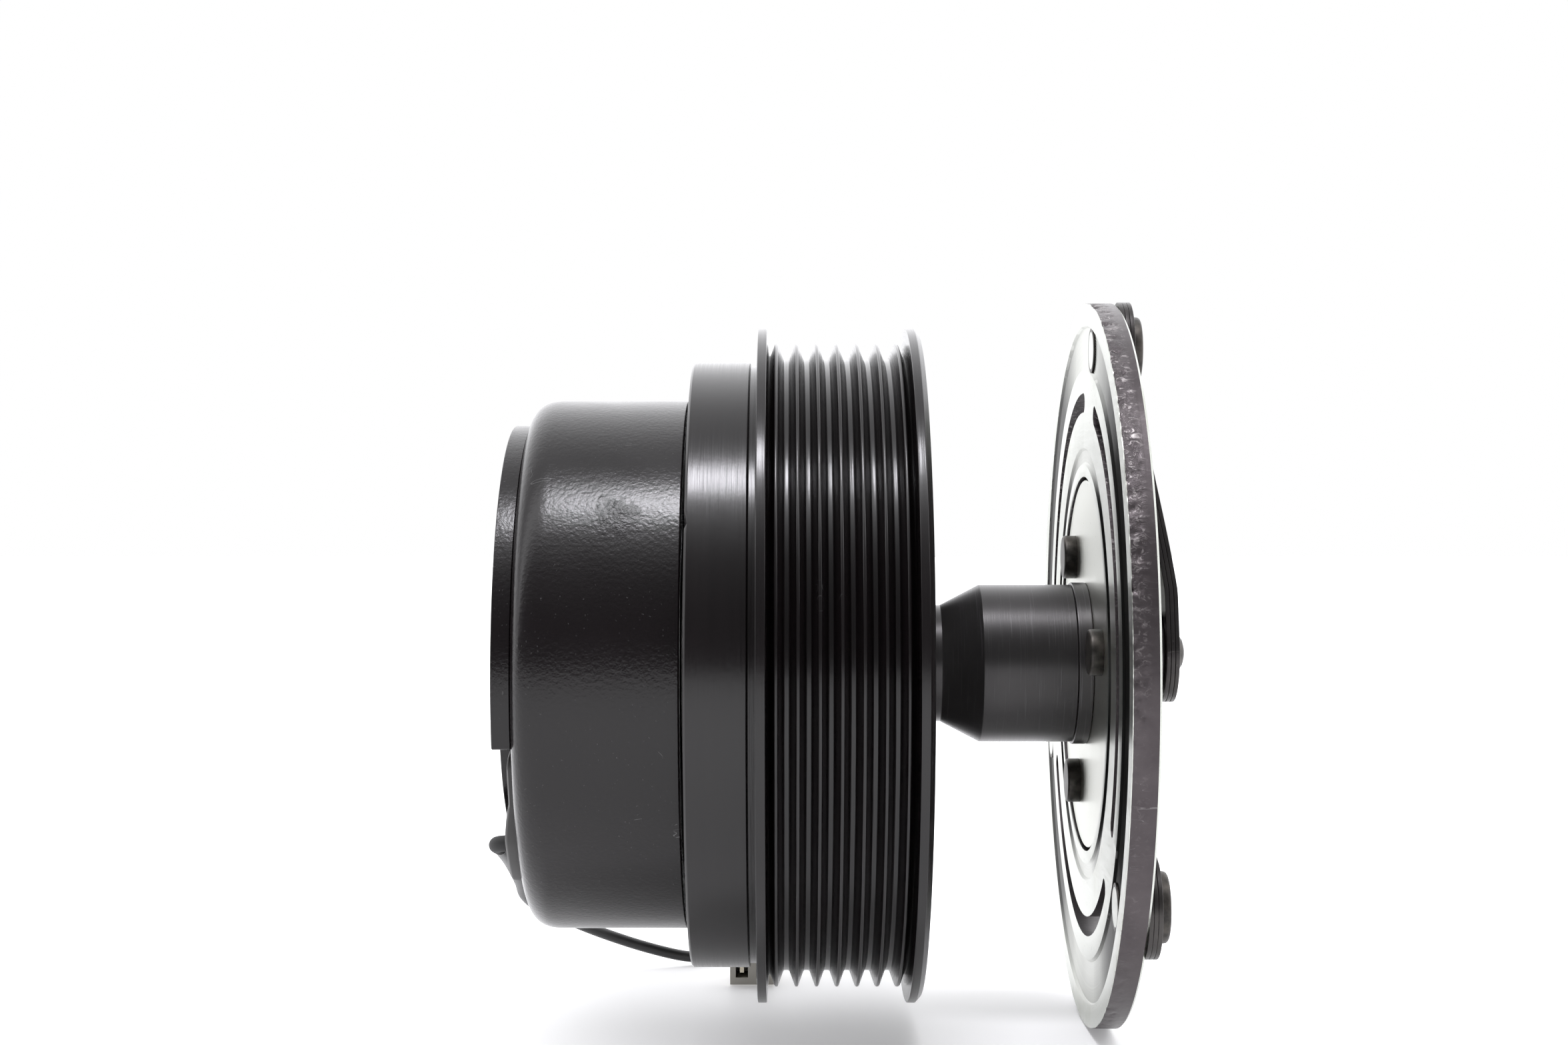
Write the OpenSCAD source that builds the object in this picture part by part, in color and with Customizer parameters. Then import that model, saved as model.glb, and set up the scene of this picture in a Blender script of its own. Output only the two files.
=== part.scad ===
// Electromagnetic clutch of a belt-driven compressor, drawn as its three sub-assemblies
// pulled apart along the shaft: field coil, grooved pulley on its bearing, hub with armature.
// The X axis is the shaft. X = 0 is the rear face of the coil's mounting plate, +Z is up.

/* [Field coil] */
// Outside diameter of the coil's steel can
coil_od = 95; // [90:0.5:96]
// Length of the can behind its open front
coil_len = 28; // [22:0.5:30]
// Diameter of the hole through the can
coil_bore_d = 66; // [64:0.5:68]
// Thickness of the mounting plate
plate_t = 3.2; // [2.5:0.1:4]
// Diameter of the mounting plate's wide upper lobe
plate_d = 86; // [80:1:90]
// Diameter of the plate's locating hole
locating_d = 46; // [42:0.5:48]
// Circle that the mounting screws stand on
screw_circle_d = 56; // [54:0.5:58]
// Diameter of each mounting screw hole
screw_hole_d = 5.5; // [4.5:0.1:5.8]

/* [Pulley] */
// Length of the pulley along the shaft
pulley_len = 40.2; // [39:0.1:42]
// Diameter over the two belt flanges
flange_od = 121; // [119:0.5:124]
// Diameter over the rib tips
rib_od = 115.4; // [114:0.2:117]
// Depth of the belt grooves
groove_depth = 2.9; // [2.4:0.1:3.2]
// Distance from one belt rib to the next
rib_pitch = 3.56; // [3.5:0.01:3.6]
// Diameter of the plain ring behind the belt grooves
ring_od = 108.6; // [107:0.2:110]
// Gap between the coil's front and the pulley while they are apart
stand_off = 0.8; // [0.4:0.1:3]

/* [Bearing] */
// Bore of the bearing
bearing_bore_d = 35; // [34:0.5:36]
// Outside diameter of the bearing
bearing_od = 55; // [54:0.5:56]
// Width of the bearing
bearing_w = 20; // [19:0.5:21]
// Diameter of a ball
ball_d = 6.35; // [6:0.05:6.5]
// Balls in each of the two rows
ball_count = 12; // [8:1:14]

/* [Hub] */
// Diameter of the hub barrel
hub_d = 28.4; // [26:0.2:30]
// Length of the hub from its nose to the flange
hub_len = 31.8; // [30:0.2:34]
// Diameter of the shaft bore between the splines
shaft_bore_d = 14; // [12:0.5:15]
// Number of spline grooves
spline_count = 20; // [12:1:24]
// Diameter of the flange on the hub
hub_flange_d = 66.4; // [64:0.2:67]

/* [Armature] */
// Outside diameter of the armature plate
armature_d = 130; // [126:0.5:132]
// Thickness of the armature plate
armature_t = 4.6; // [4:0.1:5]
// Distance from the pulley's friction face to the armature while they are apart
armature_gap = 30.2; // [20:0.1:34]
// Thickness of one spring leaf
leaf_t = 0.73; // [0.6:0.01:0.8]
// Width of a spring leaf
leaf_w = 17; // [14:0.5:18]

/* [Hidden] */
round_fn = 96;
hole_fn = 48;

// Stations along the shaft
coil_front = plate_t + coil_len;
pulley_rear = coil_front + stand_off;
pulley_front = pulley_rear + pulley_len;
web_t = 8.5;
web_rear = pulley_front - web_t;
armature_face = pulley_front + armature_gap;
armature_back = armature_face + armature_t;
flange_recess = 0.4;
hub_flange_face = armature_face + flange_recess;
hub_nose = hub_flange_face - hub_len;

// Coil
coil_r = coil_od / 2;
coil_bore_r = coil_bore_d / 2;
can_round = 5.5;
can_wall = 3.3;
can_back_t = 3;
winding_in = coil_bore_r + can_wall;
winding_out = coil_r - can_wall;
bobbin_wall = 1.2;
winding_slack = 0.6;
potting_t = 3.1;
potting_recess = 0.6;
bobbin_rear = plate_t + can_back_t;
bobbin_front = coil_front - potting_recess - potting_t;
plate_ring_r = 31.5;
plate_cut_z = -12;
screw_angles = [90, 210, 330];

// Coil lead: moulded cover in the plate's cut-out, grommet, wire and connector
cover_in = 33.8;
cover_out = 42.2;
cover_start = -62;
cover_step = -29;
cover_end = -23.5;
cover_overlap = 1;
cover_rear = 0.9;
cover_tail_rear = 2;
cover_corner = 1.5;
lead_angle = -50;
lead_r = 38.5;
lead_slope = -15;
lead_hole_r = 2.4;
wire_r = 1.1;
wire_x = -1.2;
grommet_r = 1.4;
grommet_bend = 2.4;
grommet_len = 4.6;
// How far the grommet's foot runs into its bend, so that the two fuse
grommet_overlap = 0.001;
wire_start = grommet_bend + grommet_len;
// Route of the lead: out of the grommet, down behind the coil and back to its connector
wire_route = [
    [-1.2, -17.9, -31.3], [-1.2, -12, -32.9], [-1.2, -4, -35.2], [-1.2, 6, -38.5], [-1.2, 16, -42.2],
    [-1.2, 25, -46], [1.2, 33.5, -49.8], [6, 41.5, -53.4], [12, 48, -57], [19.5, 53, -60.4],
    [27, 56.5, -62.9], [32, 59.5, -63.8], [36, 63.5, -63.9], [39.5, 67, -63.9], [44.5, 67.5, -63.9],
    [47, 63.5, -63.9], [45.5, 58, -63.7], [43, 53, -63], [42, 49.5, -62.5]
];
wire_sides = 8;
connector_pos = [42, 49.5, -62.5];
connector_size = [8.6, 14, 6.4];
connector_floor = -65;
terminal_size = [0.8, 6.5, 1.8];
terminal_spacing = 4;
terminal_recess = 0.5;
terminal_height = 2.3;
cavity_size = [2.4, 7, 3.6];
cavity_height = 1.4;

// Pulley
flange_r = flange_od / 2;
rib_r = rib_od / 2;
ring_r = ring_od / 2;
rim_bore_r = coil_r + 0.8;
web_r = 50.8;
groove_count = 6;
rib_tip_w = 0.5;
rear_flange_x = pulley_rear + 11.65;
rear_flange_t = 1.6;
front_flange_x = pulley_rear + 37.9;
front_flange_t = 1.4;
relief_w = 1.4;
relief_depth = 0.7;
rim_bore_chamfer = 0.5;
ring_chamfer = 0.4;
rear_flange_chamfer = 0.3;
front_chamfer = 1;
ribs_mid = (rear_flange_x + rear_flange_t + front_flange_x) / 2;
ribs_rear = ribs_mid - groove_count * rib_pitch / 2;
groove_slant = groove_depth * tan(20);
rotor_slot_in = 40.2;
rotor_slot_out = 43;
rotor_slots = 4;
// How much narrower a slot's round ends are than the slot, so that no two faces are tangent
slot_end_ease = 0.03;
rotor_slot_span = 70;

// Bearing and its seat in the rotor
bearing_r = bearing_od / 2;
bearing_rear = pulley_rear + 12.4;
bearing_front = bearing_rear + bearing_w;
boss_r = 31;
boss_lip_r = 25.8;
boss_lip_t = 2;
front_recess_r = 30;
front_recess = 2.7;
snap_groove_r = bearing_r + 1.1;
snap_groove_x = bearing_front + 0.15;
snap_groove_w = 1.6;
snap_ring_t = 1.5;
snap_ring_in = 24.8;
snap_ring_gap = 9;
ball_r = ball_d / 2;
ball_pitch_r = 22.4;
ball_row_gap = 8.6;
ball_clearance = 0.08;
inner_land_r = 20.7;
outer_land_r = 24.1;
race_chamfer = 0.6;
ball_rows = [
    (bearing_rear + bearing_front - ball_row_gap) / 2,
    (bearing_rear + bearing_front + ball_row_gap) / 2
];
cage_in = 21.5;
cage_out = 23.3;
cage_overhang = 2.4;
pocket_clearance = 0.18;
pocket_reach = 3;
seal_t = 0.9;
seal_inset = 0.3;
seal_in = inner_land_r + 0.2;

// Hub
hub_r = hub_d / 2;
nose_r = 10.5;
nose_len = 5.4;
cone_len = 7.1;
collar_r = hub_r + 0.4;
collar_len = 2.7;
nose_chamfer = 0.4;
shaft_bore_r = shaft_bore_d / 2;
pilot_r = shaft_bore_r - 0.5;
spline_depth = 0.9;
spline_w = 1.1;
spline_len = 16;
shim_pocket_r = 9;
shim_pocket_len = 1.1;
shim_r = 8.9;
shim_bore_r = 7.3;
// Each shim's start in the stack and its thickness
shim_stack = [[0, 0.5], [0.52, 0.3], [0.84, 0.2]];
spigot_r = 12.5;
bolt_seat_r = 9.5;
bolt_seat_x = armature_back - 11;
hub_flange_r = hub_flange_d / 2;

// Rivets and springs
hub_rivet_r = 24;
outer_rivet_r = 57;
first_hub_rivet = 7.6;
first_outer_rivet = 78.7;
rivet_shank_r = 2.5;
rivet_hole_r = 2.55;
hub_tail_r = 4;
hub_tail_len = 2.4;
dome_r = 3.4;
dome_h = 1.9;
pan_r = 5.9;
pan_h = 1.8;
pan_edge = 0.5;
leaf_count = 3;
leaf_pitch = leaf_t + 0.02;
leaf_stack = leaf_count * leaf_pitch;
spring_rise = 5.7;
spacer_r = 7;
leaf_end = 9;

// Armature
armature_r = armature_d / 2;
armature_bore_r = 33.8;
inner_groove = [36, 39, 0.5];
outer_groove = [53, 61, 0.55];
slot_in = 45.4;
slot_out = 48.9;
slot_span = 101;
edge_chamfer = 0.35;
outer_tail_r = 4;
outer_tail_depth = 0.1;

// A ring about the shaft, from radius r_in to r_out and from x0 to x1
module ring(r_in, r_out, x0, x1) {
    rotate([0, 90, 0])
        rotate_extrude($fn = round_fn)
            translate([r_in, x0])
                square([r_out - r_in, x1 - x0]);
}

// A solid turned about the shaft from an outline of [radius, x] points
module turned(outline) {
    rotate([0, 90, 0])
        rotate_extrude($fn = round_fn)
            polygon(outline);
}

// A round bar along the shaft's direction
module bar(r, x0, x1) {
    translate([x0, 0, 0])
        rotate([0, 90, 0])
            cylinder(r = r, h = x1 - x0, $fn = hole_fn);
}

// Carries a part to an angle and a distance from the shaft: 0 degrees is -Y and 90 is +Z
module at(angle, r) {
    rotate([-angle, 0, 0])
        translate([0, -r, 0])
            children();
}

// An arc of a ring, between two angles
module arc_ring(r_in, r_out, x0, x1, a0, a1) {
    rotate([0, 90, 0])
        rotate([0, 0, 270 - a1])
            rotate_extrude(angle = a1 - a0, $fn = round_fn)
                translate([r_in, x0])
                    square([r_out - r_in, x1 - x0]);
}

// A cutter for a curved slot with round ends, through x0 to x1
module arc_slot(r_in, r_out, x0, x1, middle, span) {
    mid_r = (r_in + r_out) / 2;
    arc_ring(r_in, r_out, x0, x1, middle - span / 2, middle + span / 2);
    for (end = [middle - span / 2, middle + span / 2])
        at(end, mid_r)
            bar((r_out - r_in) / 2 - slot_end_ease, x0, x1);
}

// Field coil

module coil_housing() {
    color("#1c1c1e")
        difference() {
            rotate([0, 90, 0])
                rotate_extrude($fn = round_fn)
                    difference() {
                        union() {
                            translate([coil_bore_r, plate_t])
                                square([coil_r - can_round - coil_bore_r, coil_len]);
                            translate([coil_bore_r, plate_t + can_round])
                                square([coil_r - coil_bore_r, coil_len - can_round]);
                            translate([coil_r - can_round, plate_t + can_round])
                                circle(r = can_round, $fn = round_fn);
                        }
                        translate([winding_in, bobbin_rear])
                            square([winding_out - winding_in, coil_len]);
                    }
            at(lead_angle, lead_r)
                bar(lead_hole_r, plate_t - 1, bobbin_rear + 1);
        }
}

module coil_bobbin() {
    core_r = winding_in + bobbin_wall;
    color("#2b2b2b")
        difference() {
            turned([
                [winding_in, bobbin_rear], [winding_out, bobbin_rear],
                [winding_out, bobbin_rear + bobbin_wall], [core_r, bobbin_rear + bobbin_wall],
                [core_r, bobbin_front - bobbin_wall], [winding_out, bobbin_front - bobbin_wall],
                [winding_out, bobbin_front], [winding_in, bobbin_front]
            ]);
            at(lead_angle, lead_r)
                bar(wire_r, bobbin_rear - 1, bobbin_rear + bobbin_wall + 1);
        }
}

module coil_winding() {
    color("#a0522d")
        ring(winding_in + bobbin_wall, winding_out - winding_slack,
            bobbin_rear + bobbin_wall, bobbin_front - bobbin_wall);
}

module coil_potting() {
    color("#141414")
        ring(winding_in, winding_out, bobbin_front, bobbin_front + potting_t);
}

module mounting_plate() {
    color("#202022")
        difference() {
            union() {
                bar(plate_ring_r, 0, plate_t);
                intersection() {
                    bar(plate_d / 2, 0, plate_t);
                    translate([0, -plate_d, plate_cut_z])
                        cube([plate_t, 2 * plate_d, plate_d]);
                }
            }
            bar(locating_d / 2, -1, plate_t + 1);
            for (angle = screw_angles)
                at(angle, screw_circle_d / 2)
                    bar(screw_hole_d / 2, -1, plate_t + 1);
        }
}

module lead_cover() {
    mid_r = (cover_in + cover_out) / 2;
    color("#2a2a2a")
        difference() {
            union() {
                arc_ring(cover_in, cover_out, cover_rear, plate_t, cover_start, cover_step);
                arc_ring(cover_in + cover_corner, cover_out - cover_corner,
                    cover_tail_rear, plate_t, cover_step - cover_overlap, cover_end);
                at(cover_end, mid_r)
                    bar((cover_out - cover_in) / 2 - cover_corner, cover_tail_rear, plate_t);
                at(lead_angle, lead_r)
                    bar(lead_hole_r, cover_rear, bobbin_rear);
            }
            at(lead_angle, lead_r)
                bar(grommet_r, cover_rear - 1, cover_rear + 1);
        }
}

// Moves a part drawn with its mouth at the origin, heading +Y, to the lead's exit
module at_lead_exit() {
    translate([0, -lead_r * cos(lead_angle), lead_r * sin(lead_angle)])
        rotate([lead_slope, 0, 0])
            children();
}

module lead_grommet() {
    color("#232323")
        at_lead_exit() {
            translate([wire_x + grommet_bend, 0, 0])
                rotate([0, -90, 0])
                    cylinder(r = grommet_r, h = grommet_overlap + grommet_bend + wire_x - cover_rear,
                        $fn = hole_fn);
            translate([wire_x + grommet_bend, grommet_bend, 0])
                rotate([0, 0, 180])
                    rotate_extrude(angle = 90, $fn = hole_fn)
                        translate([grommet_bend, 0])
                            circle(r = grommet_r, $fn = hole_fn);
            translate([wire_x, grommet_bend, 0])
                rotate([-90, 0, 0])
                    cylinder(r1 = grommet_r, r2 = wire_r + 0.1, h = grommet_len, $fn = hole_fn);
        }
}

// Unit vector along v
function unit(v) = v / norm(v);

// Point on a smooth curve halfway between route points i and i + 1
function halfway(route, i) =
    let (last = len(route) - 1,
        before = route[max(i - 1, 0)],
        a = route[i],
        b = route[i + 1],
        after = route[min(i + 2, last)])
    (9 * (a + b) - before - after) / 16;

// The route with a point added halfway along every step
function smoothed(route) = [
    for (i = [0 : len(route) - 2])
        each [route[i], halfway(route, i)],
    route[len(route) - 1]
];

// Direction of the path at point i
function heading(path, i) = unit(path[min(i + 1, len(path) - 1)] - path[max(i - 1, 0)]);

// Corner of the tube's ring i, at an angle around the path
function tube_corner(path, i, angle, r) =
    let (along = heading(path, i),
        side = unit(cross(along, [0, 0, 1])),
        up = cross(side, along))
    path[i] + r * (cos(angle) * side + sin(angle) * up);

// A tube swept along a path
module tube(path, r, sides) {
    rings = len(path);
    corners = [
        for (i = [0 : rings - 1], k = [0 : sides - 1])
            tube_corner(path, i, 360 * k / sides, r)
    ];
    walls = [
        for (i = [0 : rings - 2], k = [0 : sides - 1])
            let (next = (k + 1) % sides)
            [i * sides + k, i * sides + next, (i + 1) * sides + next, (i + 1) * sides + k]
    ];
    first_end = [for (k = [sides - 1 : -1 : 0]) k];
    last_end = [for (k = [0 : sides - 1]) (rings - 1) * sides + k];
    polyhedron(points = corners, faces = concat(walls, [first_end, last_end]));
}

module lead_wire() {
    color("#151515")
        tube(smoothed(wire_route), wire_r, wire_sides);
}

module lead_connector() {
    bottom = connector_floor - connector_pos[2];
    color("#8f8a80")
        translate(connector_pos)
            difference() {
                translate([-connector_size[0] / 2, -connector_size[1], bottom])
                    cube(connector_size);
                for (side = [-0.5, 0.5])
                    translate([
                        side * terminal_spacing - cavity_size[0] / 2,
                        -connector_size[1] - 1,
                        bottom + cavity_height
                    ])
                        cube(cavity_size + [0, 1, 0]);
            }
}

module connector_terminals() {
    bottom = connector_floor - connector_pos[2];
    color("#c9b27a")
        translate(connector_pos)
            for (side = [-0.5, 0.5])
                translate([
                    side * terminal_spacing - terminal_size[0] / 2,
                    terminal_recess - connector_size[1],
                    bottom + terminal_height
                ])
                    cube(terminal_size);
}

// Bearing

module ball_tracks() {
    for (row = ball_rows)
        rotate([0, 90, 0])
            rotate_extrude($fn = round_fn)
                translate([ball_pitch_r, row])
                    circle(r = ball_r + ball_clearance, $fn = round_fn);
}

module bearing_inner_race() {
    bore = bearing_bore_d / 2;
    color("#b8b8ba")
        difference() {
            turned([
                [bore, bearing_rear + race_chamfer], [bore + race_chamfer, bearing_rear],
                [inner_land_r, bearing_rear], [inner_land_r, bearing_front],
                [bore + race_chamfer, bearing_front], [bore, bearing_front - race_chamfer]
            ]);
            ball_tracks();
        }
}

module bearing_outer_race() {
    color("#b0b0b2")
        difference() {
            turned([
                [outer_land_r, bearing_rear], [bearing_r - race_chamfer, bearing_rear],
                [bearing_r, bearing_rear + race_chamfer], [bearing_r, bearing_front - race_chamfer],
                [bearing_r - race_chamfer, bearing_front], [outer_land_r, bearing_front]
            ]);
            ball_tracks();
        }
}

module bearing_balls() {
    color("#d0d0d4")
        for (row = ball_rows, i = [0 : ball_count - 1])
            at(i * 360 / ball_count, ball_pitch_r)
                translate([row, 0, 0])
                    sphere(r = ball_r, $fn = hole_fn);
}

module ball_cage() {
    color("#6b5a3a")
        difference() {
            ring(cage_in, cage_out, ball_rows[0] - cage_overhang, ball_rows[1] + cage_overhang);
            for (row = ball_rows, i = [0 : ball_count - 1])
                at(i * 360 / ball_count, ball_pitch_r)
                    translate([row, -pocket_reach, 0])
                        rotate([-90, 0, 0])
                            cylinder(r = ball_r + pocket_clearance, h = 2 * pocket_reach, $fn = hole_fn);
        }
}

module seal(x0) {
    color("#26221f")
        ring(seal_in, outer_land_r, x0, x0 + seal_t);
}

module bearing_seal_front() {
    seal(bearing_front - seal_inset - seal_t);
}

module bearing_seal_rear() {
    seal(bearing_rear + seal_inset);
}

module bearing_snap_ring() {
    snap_ring_x = snap_groove_x + 0.05;
    color("#3a3a3c")
        difference() {
            ring(snap_ring_in, snap_groove_r - 0.1, snap_ring_x, snap_ring_x + snap_ring_t);
            translate([snap_ring_x - 1, -snap_ring_gap / 2, 0])
                cube([snap_ring_t + 2, snap_ring_gap, bearing_od]);
        }
}

// Pulley

// Outline points of the belt ribs, from the rear flange to the front one
function rib_outline() = [
    for (i = [0 : groove_count - 1])
        let (tip = ribs_rear + i * rib_pitch,
            bottom_rear = tip + rib_tip_w / 2 + groove_slant,
            bottom_front = tip + rib_pitch - rib_tip_w / 2 - groove_slant)
        each [
            [rib_r, tip - rib_tip_w / 2], [rib_r, tip + rib_tip_w / 2],
            [rib_r - groove_depth, bottom_rear], [rib_r - groove_depth, bottom_front]
        ],
    [rib_r, ribs_rear + groove_count * rib_pitch - rib_tip_w / 2],
    [rib_r, ribs_rear + groove_count * rib_pitch + rib_tip_w / 2]
];

module pulley_rim() {
    rear_wall_x = rear_flange_x + rear_flange_t;
    front_wall_x = front_flange_x + front_flange_t;
    color("#1a1a1a")
        turned(concat(
            [
                [rim_bore_r, pulley_rear + rim_bore_chamfer], [rim_bore_r + rim_bore_chamfer, pulley_rear],
                [ring_r - ring_chamfer, pulley_rear], [ring_r, pulley_rear + ring_chamfer],
                [ring_r, rear_flange_x - relief_w], [ring_r - relief_depth, rear_flange_x - relief_w],
                [ring_r - relief_depth, rear_flange_x], [flange_r - rear_flange_chamfer, rear_flange_x],
                [flange_r, rear_flange_x + rear_flange_chamfer], [flange_r, rear_wall_x],
                [rib_r - groove_depth, ribs_rear - rib_tip_w / 2 - groove_slant]
            ],
            rib_outline(),
            [
                [rib_r - groove_depth, ribs_rear + groove_count * rib_pitch + rib_tip_w / 2 + groove_slant],
                [flange_r, front_flange_x], [flange_r, front_wall_x],
                [flange_r - front_chamfer, pulley_front], [web_r, pulley_front],
                [web_r, web_rear], [rim_bore_r, web_rear]
            ]
        ));
}

module rotor_core() {
    color("#242426")
        difference() {
            turned([
                [boss_lip_r, bearing_rear - boss_lip_t], [boss_r, bearing_rear - boss_lip_t],
                [boss_r, web_rear], [web_r, web_rear],
                [web_r, pulley_front], [front_recess_r, pulley_front],
                [front_recess_r, pulley_front - front_recess], [bearing_r, pulley_front - front_recess],
                [bearing_r, snap_groove_x + snap_groove_w], [snap_groove_r, snap_groove_x + snap_groove_w],
                [snap_groove_r, snap_groove_x], [bearing_r, snap_groove_x],
                [bearing_r, bearing_rear], [boss_lip_r, bearing_rear]
            ]);
            for (i = [0 : rotor_slots - 1])
                arc_slot(rotor_slot_in, rotor_slot_out, web_rear - 1, pulley_front + 1,
                    i * 360 / rotor_slots, rotor_slot_span);
        }
}

// Hub and armature

module gap_shims() {
    color("#9a9a9c")
        for (shim = shim_stack)
            ring(shim_bore_r, shim_r, hub_nose + shim[0], hub_nose + shim[0] + shim[1]);
}

module hub() {
    cone_rear = hub_nose + nose_len;
    cone_front = cone_rear + cone_len;
    pocket_x = hub_nose + shim_pocket_len;
    spline_end = pocket_x + spline_len;
    color("#1d1d1f")
        difference() {
            turned([
                [shaft_bore_r, pocket_x], [shim_pocket_r, pocket_x],
                [shim_pocket_r, hub_nose], [nose_r - nose_chamfer, hub_nose],
                [nose_r, hub_nose + nose_chamfer],
                [nose_r, cone_rear], [hub_r, cone_front],
                [hub_r, hub_flange_face - collar_len], [collar_r, hub_flange_face - collar_len],
                [collar_r, hub_flange_face], [spigot_r, hub_flange_face], [spigot_r, armature_back],
                [bolt_seat_r, armature_back], [bolt_seat_r, bolt_seat_x],
                [pilot_r, bolt_seat_x], [pilot_r, spline_end], [shaft_bore_r, spline_end]
            ]);
            for (i = [0 : spline_count - 1])
                at(i * 360 / spline_count, shaft_bore_r)
                    translate([pocket_x - 0.5, -spline_depth, -spline_w / 2])
                        cube([spline_len + 0.5, 2 * spline_depth, spline_w]);
        }
}

module hub_flange() {
    color("#c4c4be")
        difference() {
            ring(spigot_r, hub_flange_r, hub_flange_face, armature_back);
            for (i = [0 : 2])
                at(first_hub_rivet + i * 120, hub_rivet_r)
                    bar(rivet_hole_r, hub_flange_face - 1, armature_back + 1);
        }
}

module hub_rivets() {
    dome_base = armature_back + spring_rise + leaf_stack;
    dome_sphere_r = (dome_r * dome_r + dome_h * dome_h) / (2 * dome_h);
    color("#3b3733")
        for (i = [0 : 2])
            at(first_hub_rivet + i * 120, hub_rivet_r) {
                bar(hub_tail_r, hub_flange_face - hub_tail_len, hub_flange_face);
                bar(rivet_shank_r, hub_flange_face, dome_base);
                intersection() {
                    translate([dome_base + dome_h - dome_sphere_r, 0, 0])
                        sphere(r = dome_sphere_r, $fn = hole_fn);
                    bar(dome_r + 1, dome_base, dome_base + dome_h + 1);
                }
            }
}

module spring_spacers() {
    color("#33312f")
        for (i = [0 : 2])
            at(first_hub_rivet + i * 120, hub_rivet_r)
                difference() {
                    bar(spacer_r, armature_back, armature_back + spring_rise);
                    bar(rivet_hole_r, armature_back - 1, armature_back + spring_rise + 1);
                }
}

// One stack of bent leaves, from the armature rivet at outer_angle to its hub rivet
module leaf_spring(outer_angle) {
    inner_angle = outer_angle + first_hub_rivet - first_outer_rivet;
    outer_point = outer_rivet_r * [-cos(outer_angle), sin(outer_angle)];
    inner_point = hub_rivet_r * [-cos(inner_angle), sin(inner_angle)];
    reach = inner_point - outer_point;
    span = norm(reach);
    color("#3d3a37")
        translate([0, outer_point[0], outer_point[1]])
            rotate([atan2(reach[1], reach[0]), 0, 0])
                for (i = [0 : leaf_count - 1])
                    leaf(armature_back + i * leaf_pitch, span);
}

// One leaf along +Y, from a flat pad at the origin up to a flat pad at span
module leaf(base_x, span) {
    difference() {
        intersection() {
            linear_extrude(height = leaf_w, center = true)
                polygon([
                    [base_x, -leaf_w], [base_x, leaf_end],
                    [base_x + spring_rise, span - leaf_end], [base_x + spring_rise, span + leaf_w],
                    [base_x + spring_rise + leaf_t, span + leaf_w],
                    [base_x + spring_rise + leaf_t, span - leaf_end],
                    [base_x + leaf_t, leaf_end], [base_x + leaf_t, -leaf_w]
                ]);
            union() {
                bar(leaf_w / 2, base_x - 1, base_x + spring_rise + leaf_stack);
                translate([0, span, 0])
                    bar(leaf_w / 2, base_x - 1, base_x + spring_rise + leaf_stack);
                translate([base_x - 1, 0, -leaf_w / 2])
                    cube([spring_rise + leaf_stack + 1, span, leaf_w]);
            }
        }
        bar(rivet_hole_r, base_x - 1, base_x + leaf_stack);
        translate([0, span, 0])
            bar(rivet_hole_r, base_x + spring_rise - 1, base_x + spring_rise + leaf_stack);
    }
}

module leaf_spring_top() {
    leaf_spring(first_outer_rivet);
}

module leaf_spring_near() {
    leaf_spring(first_outer_rivet - 120);
}

module leaf_spring_far() {
    leaf_spring(first_outer_rivet + 120);
}

module armature_plate() {
    color("#bdbcb4")
        difference() {
            turned([
                [armature_bore_r, armature_face], [inner_groove[0], armature_face],
                [inner_groove[0], armature_face + inner_groove[2]],
                [inner_groove[1], armature_face + inner_groove[2]], [inner_groove[1], armature_face],
                [outer_groove[0], armature_face], [outer_groove[0], armature_face + outer_groove[2]],
                [outer_groove[1], armature_face + outer_groove[2]], [outer_groove[1], armature_face],
                [armature_r, armature_face], [armature_r, armature_back - edge_chamfer],
                [armature_r - edge_chamfer, armature_back], [armature_bore_r, armature_back]
            ]);
            for (i = [0 : 2]) {
                arc_slot(slot_in, slot_out, armature_face - 1, armature_back + 1,
                    first_outer_rivet + 60 + i * 120, slot_span);
                at(first_outer_rivet + i * 120, outer_rivet_r)
                    bar(rivet_hole_r, armature_face - 1, armature_back + 1);
            }
        }
}

module armature_rivets() {
    groove_floor = armature_face + outer_groove[2];
    head_base = armature_back + leaf_stack;
    color("#3b3733")
        for (i = [0 : 2])
            at(first_outer_rivet + i * 120, outer_rivet_r)
                rotate([0, 90, 0])
                    rotate_extrude($fn = hole_fn)
                        polygon([
                            [0, armature_face + outer_tail_depth],
                            [outer_tail_r, armature_face + outer_tail_depth], [outer_tail_r, groove_floor],
                            [rivet_shank_r, groove_floor], [rivet_shank_r, head_base],
                            [pan_r, head_base], [pan_r, head_base + pan_h - pan_edge],
                            [pan_r - pan_edge, head_base + pan_h], [0, head_base + pan_h]
                        ]);
}

coil_housing();
coil_bobbin();
coil_winding();
coil_potting();
mounting_plate();
lead_cover();
lead_grommet();
lead_wire();
lead_connector();
connector_terminals();
bearing_inner_race();
bearing_outer_race();
bearing_balls();
ball_cage();
bearing_seal_front();
bearing_seal_rear();
bearing_snap_ring();
pulley_rim();
rotor_core();
gap_shims();
hub();
hub_flange();
hub_rivets();
spring_spacers();
leaf_spring_top();
leaf_spring_near();
leaf_spring_far();
armature_plate();
armature_rivets();
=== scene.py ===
import math

import bmesh
import bpy
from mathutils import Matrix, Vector, noise


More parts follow.
